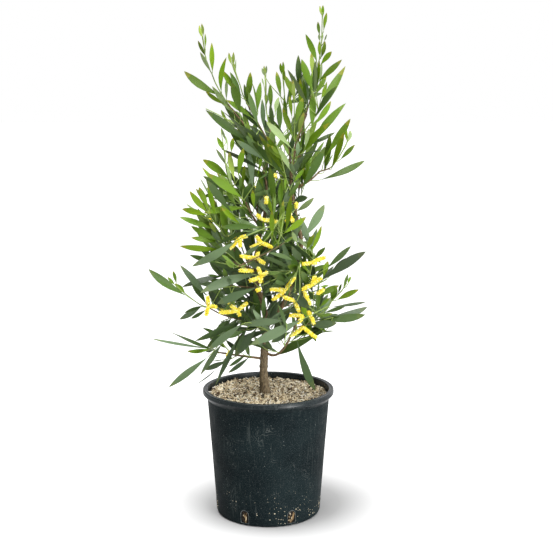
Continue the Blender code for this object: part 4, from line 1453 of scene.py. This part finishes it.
# %% [markdown]
# ### Where the crown is open
#
# A real crown has an outline of its own, with gaps that show sky. The rule that follows could grow leaves
# anywhere, so it is given the crown's outline as the camera sees it, and its gaps. A leaf that would hang
# outside the one or across the other is turned another way round its stem, or isn't grown.

# %% The crown's outline and its gaps, in the camera's frame
OUTLINE = (
    (222, 104), (232, 108), (240, 104), (248, 102), (256, 98), (264, 92), (272, 86), (280, 84), (289, 88),
    (297, 72), (304, 66), (313, 62), (319, 70), (325, 80), (332, 90), (328, 104), (336, 113), (328, 126),
    (342, 129), (334, 143), (326, 158), (322, 172), (310, 180), (304, 188), (296, 198), (304, 206),
    (306, 216), (302, 228), (305, 240), (312, 232), (318, 240), (316, 252), (328, 262), (340, 262),
    (330, 276), (326, 284), (332, 296), (326, 308), (340, 312), (350, 316), (338, 324), (322, 330),
    (306, 346), (286, 350), (272, 346), (258, 344), (250, 352), (240, 362), (226, 374), (218, 368),
    (200, 362), (206, 352), (190, 350), (182, 342), (200, 338), (212, 330), (226, 322), (216, 312),
    (206, 300), (196, 290), (196, 278), (204, 270), (208, 264), (200, 256), (192, 250), (196, 240),
    (194, 228), (192, 218), (194, 206), (198, 194), (204, 182), (212, 170), (222, 168),
    (230, 158), (234, 146), (228, 138), (218, 128), (226, 120), (220, 110),
)
GAPS = (
    ((276, 198), (288, 198), (283, 208), (277, 208)),
    ((304, 172), (318, 148), (312, 160), (302, 184)),
    ((232, 148), (244, 152), (248, 160), (242, 172), (230, 166)),
    ((245, 162), (262, 169), (262, 180), (250, 182)),
    ((261, 145), (268, 149), (274, 163), (264, 165)),
)
print("the outline has", len(OUTLINE), "corners and", len(GAPS), "gaps")

# %% Whether a leaf may grow
NEAR_STEPS = 6  # how near in the frame one leaf lies over another


def inside(ring, right, down):
    """Whether a point lies in a ring: a line to its right then crosses the ring an odd number of times."""
    odd = False
    for (x0, y0), (x1, y1) in zip(ring, ring[1:] + ring[:1]):
        if (y0 > down) != (y1 > down) and right < x0 + (x1 - x0) * (down - y0) / (y1 - y0):
            odd = not odd
    return odd


def in_the_open(right, down):
    return not inside(OUTLINE, right, down) or any(inside(gap, right, down) for gap in GAPS)


def in_crown(foot, tip):
    """Whether a leaf's outer half stays in the outline and off the gaps, and all of it behind what is set."""
    if abs(tip.y) > DEEPEST:
        return False
    for share in (0.4, 0.7, 1.0):
        place = foot.lerp(tip, share)
        right, down = framed(place)
        if share > 0.5 and in_the_open(right, down):
            return False
        near = np.hypot(set_spots[:, 0] - right, set_spots[:, 1] - down) < NEAR_STEPS
        if (set_spots[near, 2] > place.y).sum() > 1:
            return False
    return True


print("no leaf reaches past", DEEPEST, "metres to the front or the back")

# %% [markdown]
# ### How the leaves sit
#
# Leaves stand singly, each turned two fifths of the way round the stem from the last. Low on a shoot they
# are old, long and wide-angled, and towards the tip they grow shorter, steeper and brighter, down to a tuft
# of folded buds. The same rule grows the side twigs, so it calls itself once for each of them.

# %% One grown leaf
TRIES = 8  # ways round the stem before a leaf is given up
SHRINK = 0.97  # of its length at every try
DROOP = 0.30  # of its length, times its age past 0.45
BLADE_TURN = math.radians(38)  # how far blades are turned out of their plane, as a rule
TONE_AGES = ((0.10, "young"), (0.26, "fresh"), (0.45, "green"), (0.64, "grown"), (0.85, "dark"))


def tone_of(age, rng):
    """A leaf's paint name for its age, 0 the youngest. One in five of the old ones has a pale bloom."""
    if age > 0.60 and rng.random() < 0.22:
        return "waxy" if rng.random() < 0.5 else "blue"
    if age < 0.5 and rng.random() < 0.08:
        return "silver"
    return next((tone for limit, tone in TONE_AGES if age < limit), "deep")


def grow_leaf(foot, ahead, out, angle, length, age, shade, rng):
    """One leaf that leaves the stem at an angle and stays inside the crown. True if it grew."""
    droop = DROOP * max(age - 0.45, 0.0) * rng.uniform(0.4, 1.5)
    for _ in range(TRIES):
        way = ahead * math.cos(angle) + out * math.sin(angle)
        tip = foot + way * length - UP * length * droop
        if in_crown(foot, tip):
            break
        out = Matrix.Rotation(rng.uniform(0.8, 2.4), 3, ahead) @ out
        length *= SHRINK
    else:
        return False
    span = tip - foot
    inward = (ahead - way * ahead.dot(way)).normalized()
    middle = foot + span / 2 + inward * length * rng.uniform(-0.02, 0.09)
    middle += span.cross(inward).normalized() * length * rng.gauss(0, 0.03)
    edge = Matrix.Rotation(rng.gauss(0, BLADE_TURN), 3, span.normalized()) @ inward
    tone = tone_of(age + rng.gauss(0, 0.07), rng)
    width = length * rng.uniform(0.135, 0.17) + 0.001
    hold_leaf(foot, middle, tip, edge, width, tone, shade, rng)
    return True


print("a leaf tries", TRIES, "ways round its stem")

# %% Tufts, and the stems of shoots
TURN = math.radians(137.5)  # from one leaf to the next
BUDS = 4
STEM_STEPS = 28


def grow_tuft(foot, ahead, side, rng):
    """The folded buds at a shoot's tip."""
    for bud in range(BUDS):
        out = Matrix.Rotation(bud * TURN, 3, ahead) @ side
        angle = math.radians(rng.uniform(6, 22))
        grow_leaf(foot, ahead, out, angle, rng.uniform(0.010, 0.021), 0.10, bud % 2, rng)


def grow_stem(path, start, end, foot_radius, age):
    """The stem of a shoot from start to end: barked as far as its age tells, and green from there on."""
    shares = np.linspace(start, end, STEM_STEPS)
    thick = np.linspace(foot_radius, 0.0008, STEM_STEPS)
    run = [(path.at(share), radius) for share, radius in zip(shares, thick)]
    green_from = int(STEM_STEPS * min(max(0.9 * age - 0.25, 0.0), 0.6))
    if green_from > 1:
        twig_runs.append(run[: green_from + 1])
    green_runs.append(run[green_from:])


print("a shoot ends in", BUDS, "folded buds")

# %% The growing rule
LEAF_STEP = (0.010, 0.015)  # from one leaf to the next, and a little less towards the tip
SIDE_ANGLE = 0.7  # of a side twig from its shoot, in radians
SIDE_FROM, SIDE_TO = 0.05, 0.62  # the part of a shoot that bears side twigs, one at every third leaf
LEAST_STEM = 0.05  # of a path: a shorter stem isn't made
SET_FILL = 0.55  # on a shoot whose leaves are mostly set one by one


def side_twig(foot, ahead, out, reach, rng):
    """The path of a side twig that leaves across from a leaf."""
    opposite = Matrix.Rotation(rng.uniform(1.5, 4.5), 3, ahead) @ out
    way = ahead * math.cos(SIDE_ANGLE) + opposite * math.sin(SIDE_ANGLE)
    return shoot_path(foot, foot + way * reach + UP * 0.006, 0.003)


def grow_shoot(path, bare, age, leaf_length, foot_radius, rng, twigs, fill=1.0, held=0.0):
    """Leaves and side twigs on a path, and its stem as far as they grow. Fill is the share of leaves."""
    leafy_end = 1 - 0.45 * min(leaf_length, 0.05) / path.length if fill == 1.0 else 1.0
    side = path.heading(bare).orthogonal().normalized()
    turn = rng.uniform(0, math.tau)
    gone, step, reached = bare * path.length + 0.008, 0, 0.0
    shade = rng.randrange(len(SHADES))
    while gone < leafy_end * path.length:
        share = gone / path.length
        grown = (share - bare) / (leafy_end - bare)
        ahead = path.heading(share)
        side = (side - ahead * side.dot(ahead)).normalized()
        turn += TURN + rng.gauss(0, 0.25)
        out = Matrix.Rotation(turn, 3, ahead) @ side
        left = path.length - gone
        length = min(leaf_length * rng.uniform(0.85, 1.2), left * 1.2 + 0.016)
        angle = math.radians(38 - 20 * grown) * rng.uniform(0.75, 1.25)
        leaf_age = age + 0.12 - 0.50 * grown
        foot = path.at(share)
        if rng.random() < fill and grow_leaf(foot, ahead, out, angle, length, leaf_age, shade, rng):
            reached = share
        if twigs and step % 3 == 1 and SIDE_FROM < grown < SIDE_TO:
            reach = min(leaf_length, 0.6 * left) * rng.uniform(0.75, 1.05)
            twig = side_twig(foot, ahead, out, reach, rng)
            if grow_shoot(twig, 0.0, leaf_age, leaf_length * 0.75, foot_radius * 0.5, rng, False):
                reached = share
        gone += rng.uniform(*LEAF_STEP) * (1.15 - 0.35 * grown)
        step += 1
    end = leafy_end if fill < 1.0 or reached > 0.8 else reached
    if end == leafy_end and fill == 1.0:
        grow_tuft(path.at(end), path.heading(end), side, rng)
    if end > bare + LEAST_STEM or held > bare:
        grow_stem(path, bare, max(end, held), foot_radius, age)
    return end > bare + LEAST_STEM


for name, (path, bare, age, leaf_length) in shoots.items():
    fill = SET_FILL if name in SEEN_STEMS or name == "left_upper" else 1.0
    rng = random.Random("leaves of " + name)
    grow_shoot(path, bare, age, leaf_length, BOUGH_RADII[1], rng, fill == 1.0, fill, carried[name])
print(len(leaves), "leaves so far, on", len(shoots), "shoots and their twigs")

# %% Small leaves on the long twigs of the leaves set one by one
TWIG_LEAF_STEP = 0.012


def grow_on_twig(run, rng):
    """Small leaves along a twig, but for its two ends."""
    path = Path(run)
    side = path.heading(0.5).orthogonal().normalized()
    turn = rng.uniform(0, math.tau)
    shade = rng.randrange(len(SHADES))
    for share in np.arange(0.12, 0.93, TWIG_LEAF_STEP / path.length):
        ahead = path.heading(share)
        turn += TURN + rng.gauss(0, 0.25)
        out = Matrix.Rotation(turn, 3, ahead) @ (side - ahead * side.dot(ahead)).normalized()
        length, angle, age = rng.uniform(0.045, 0.080), rng.uniform(0.45, 0.85), rng.uniform(0.55, 0.9)
        grow_leaf(path.at(share), ahead, out, angle, length, age, shade, rng)


rng = random.Random(34)
for run in long_twigs:
    grow_on_twig(run, rng)
print(len(leaves), "leaves on", len(green_runs), "shoots and twigs,", len(long_twigs), "of them long")

# %% Joining the leaves, the twigs and the green stems
LEAF_SMOOTH = 62  # degrees


def leaf_piece(name, young, replaced):
    """The young leaves or the others as one mesh, each with its veins' map."""
    chosen = [leaf for leaf in leaves if (leaf[-2] in YOUNG_TONES) == young]
    copies = [bent_leaf(leaf) for leaf in chosen]
    mesh = joined(name, copies, leaf_faces, [leaf_slots(leaf) for leaf in chosen], LEAF_SMOOTH)
    one = [(ACROSS[index] * 0.5 + 0.5, ALONG[index]) for face in leaf_faces for index in face]
    layer = mesh.uv_layers.new(name="blade")
    layer.uv.foreach_set("vector", np.tile(np.array(one, np.float32), (len(chosen), 1)).ravel())
    finish_piece(mesh, name, leaf_paints, replaced)


foliage = [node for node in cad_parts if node.endswith("_foliage")]
leaf_piece("old_leaves", False, foliage)
leaf_piece("young_leaves", True, [])

twig_bark = make_bark("twig_bark", linear(124, 104, 72), linear(78, 64, 44), linear(146, 128, 94))
green_skin = new_paint("green_stem", linear(128, 150, 72), 0.5)
grainy(green_skin, 1500.0, 0.0002, upright=0.2)
finish_piece(tubes("twigs", twig_runs, 8), "leafy_twigs", [twig_bark])
finish_piece(tubes("green", green_runs, 8), "green_stems", [green_skin])

# %% [markdown]
# ## Blossom
#
# The flowers are lemon-yellow rods 2 to 4 cm long, one to four to a stalk. A rod is 25 to 50 round florets
# packed on a thin core, and each floret is a puff of stamens. A texture would make them look like painted
# sticks. Here a floret is an icosphere whose every face is pulled up to a point, and the rods are filled
# with copies of it.

# %% Florets, rods and stalks
FLORET_STEP = 0.00068  # along a rod, from one floret to the next
FLORET_TURN = 2.4  # round it, in radians
FLORET_SHARES = (5, 3, 2)  # of the three yellows
ROD_RADIUS, CORE_RADIUS = 0.0025, 0.0011


def floret():
    """A puff of stamens: a small ball with every face pulled up to a point."""
    bm = bmesh.new()
    bmesh.ops.create_icosphere(bm, subdivisions=1, radius=0.80)
    bmesh.ops.poke(bm, faces=bm.faces, offset=0.42)
    return shape_of(bm)


floret_points, floret_faces = floret()
floret_copies, floret_slots, stalk_runs = [], [], []


def add_rod(foot, tip, rng):
    """Florets all over a rod from foot to tip, and a green core inside it."""
    line = tip - foot
    ahead = line.normalized()
    side = ahead.orthogonal().normalized()
    bend = side * line.length * rng.uniform(-0.06, 0.06)
    count = int(line.length / FLORET_STEP)
    for number in range(count):
        share = (number + 0.5) / count
        out = Matrix.Rotation(number * FLORET_TURN, 3, ahead) @ side
        thin = 1 - 0.30 * abs(2 * share - 1) ** 4
        place = foot + line * share + bend * 4 * share * (1 - share) + out * ROD_RADIUS * thin
        size = rng.uniform(0.00170, 0.00230) * thin
        turn = np.array(Matrix.Rotation(rng.uniform(0, math.tau), 3, ahead))
        floret_copies.append(floret_points * size @ turn.T + np.array(place))
        floret_slots.append([rng.choices((0, 1, 2), FLORET_SHARES)[0]] * len(floret_faces))
    shares = (0.0, 0.35, 0.7, 0.97)
    core = [foot + line * share + bend * 4 * share * (1 - share) for share in shares]
    stalk_runs.append([(place, CORE_RADIUS) for place in core])


def add_stalk(foot, top, rng):
    """A thin stalk that leaves the wood, bends and rises to the flower head."""
    middle = foot.lerp(top, 0.5) - UP * (top - foot).length * rng.uniform(0.05, 0.18)
    run = interpolate_bezier(foot, middle, middle.lerp(top, 0.5), top, TWIG_STEPS)
    stalk_runs.append(list(zip(run, np.linspace(0.0010, 0.0006, TWIG_STEPS))))


print("a floret has", len(floret_faces), "faces")

# %% Every head with its stalk, in front and at the back
rng = random.Random(33)
for foot, (head, depth, tips) in zip(stalk_feet, HEADS):
    node = seen(*head, depth)
    add_stalk(foot, node, rng)
    for tip in tips:
        add_rod(node, seen(*tip, depth + rng.uniform(-0.010, 0.006)), rng)
for name, share in BACK_HEADS:
    path = shoots[name][0]
    foot = path.at(share)
    out = Vector((foot.x, foot.y, 0.0)).normalized()
    node = foot + out * 0.012 + UP * rng.uniform(0.004, 0.014)
    add_stalk(foot, node, rng)
    for _ in range(rng.choice((2, 3, 3))):
        lean = Matrix.Rotation(rng.uniform(-1.4, 1.4), 3, "Z") @ out
        way = (lean + UP * rng.uniform(-0.3, 1.0)).normalized()
        add_rod(node, node + way * rng.uniform(0.020, 0.032), rng)

YELLOWS = {"lemon": (252, 238, 92), "yellow": (244, 222, 62), "cream_yellow": (253, 246, 156)}
flower_paints = [new_paint("blossom_" + name, linear(*colour), 0.75) for name, colour in YELLOWS.items()]
for paint in flower_paints:
    grainy(paint, 2200.0, 0.0003)
blossom_mesh = joined("florets", floret_copies, floret_faces, floret_slots)
finish_piece(blossom_mesh, "blossom", flower_paints)
finish_piece(tubes("stalks", stalk_runs, 6), "flower_stalks", [green_skin])

# %% [markdown]
# ## Floor and light
#
# A grey floor with no edge in sight, one soft light overhead and a little to the left, one low at the
# front on the right, and a sky that is brightest overhead and on the right. One lamp would be simpler, but
# with two the crown's top and the pot's right side are each lit as strongly as they need. The sky shows as
# white to the camera, whatever light it gives, and away from the pot the floor glows white to the camera
# too: a painted glow, which leaves a painted shadow round the pot's foot. The Standard view keeps whites
# white and greens strong.

# %% Floor
# The floor is mid grey. To the camera alone it glows white, a painted glow that fades out towards this
# centre, so that a painted shadow lies round the pot's foot, a little to the right of and behind its middle.
SHADOW_CENTRE = (0.012, 0.035, 0.0)
SHADOW_FROM, SHADOW_END = 0.13, 0.32  # from that centre, where the glow starts and where it is full
FLOOR_GLOW = 0.75
FLOOR_SIZE = 40.0
FLOOR_GAP = 0.0003  # between the floor and the pot's underside

floor_bm = bmesh.new()
bmesh.ops.create_grid(floor_bm, x_segments=1, y_segments=1, size=FLOOR_SIZE)
bmesh.ops.translate(floor_bm, verts=floor_bm.verts, vec=(0.0, 0.0, cad_low.z - FLOOR_GAP))
floor = placed("floor", mesh_from(floor_bm, "floor"))
floor_paint = new_paint("floor_with_painted_glow", grey(0.48), 0.9)
spot = {0: object_place(floor_paint), 1: SHADOW_CENTRE}
away = add_node(floor_paint, "VectorMath", spot, operation="DISTANCE").outputs["Value"]
glow = ranged(floor_paint, away, SHADOW_FROM, SHADOW_END, 0.0, FLOOR_GLOW)
to_camera = add_node(floor_paint, "LightPath", {}).outputs["Is Camera Ray"]
drive(floor_paint, Emission_Strength=times(floor_paint, glow, to_camera))
shader_of(floor_paint).inputs["Emission Color"].default_value = WHITE
floor.data.materials.append(floor_paint)
print("the floor lies at", round(cad_low.z - FLOOR_GAP, 4))

# %% Light
LAMP_SIZE = 1.2


def soft_light(name, place, target, watts):
    """A square lamp that looks at a target."""
    lamp = bpy.data.lights.new(name, "AREA")
    lamp.size = LAMP_SIZE
    lamp.energy = watts
    light = placed(name, lamp)
    light.location = place
    light.rotation_euler = (Vector(target) - Vector(place)).to_track_quat("-Z", "Y").to_euler()


soft_light("top", (-0.28, -0.1, 2.5), (0.0, 0.0, 0.3), 76.0)
soft_light("side", (1.7, -2.2, 0.7), (0.0, 0.0, 0.4), 54.0)
print("two soft lights,", LAMP_SIZE, "metres wide")

# %% Sky
sky = bpy.data.worlds.new("white_sky")
sky.use_nodes = True
scene.world = sky
toward = add_node(sky, "TexCoord", {}).outputs["Generated"]
split = add_node(sky, "SeparateXYZ", {"Vector": toward}).outputs
level = ramp(sky, ranged(sky, split["X"], -1.0, 1.0), (0.1, grey(0.03)), (0.9, grey(1.6)))
sky_light = blend(sky, ramp(sky, split["Z"], (0.3, BLACK), (0.95, WHITE)), level, WHITE)
to_camera = add_node(sky, "LightPath", {}).outputs["Is Camera Ray"]
background = sky.node_tree.nodes["Background"].inputs["Color"]
sky.node_tree.links.new(blend(sky, to_camera, sky_light, WHITE), background)
scene.view_settings.view_transform = "Standard"
print("the sky is", len(sky.node_tree.nodes), "nodes")
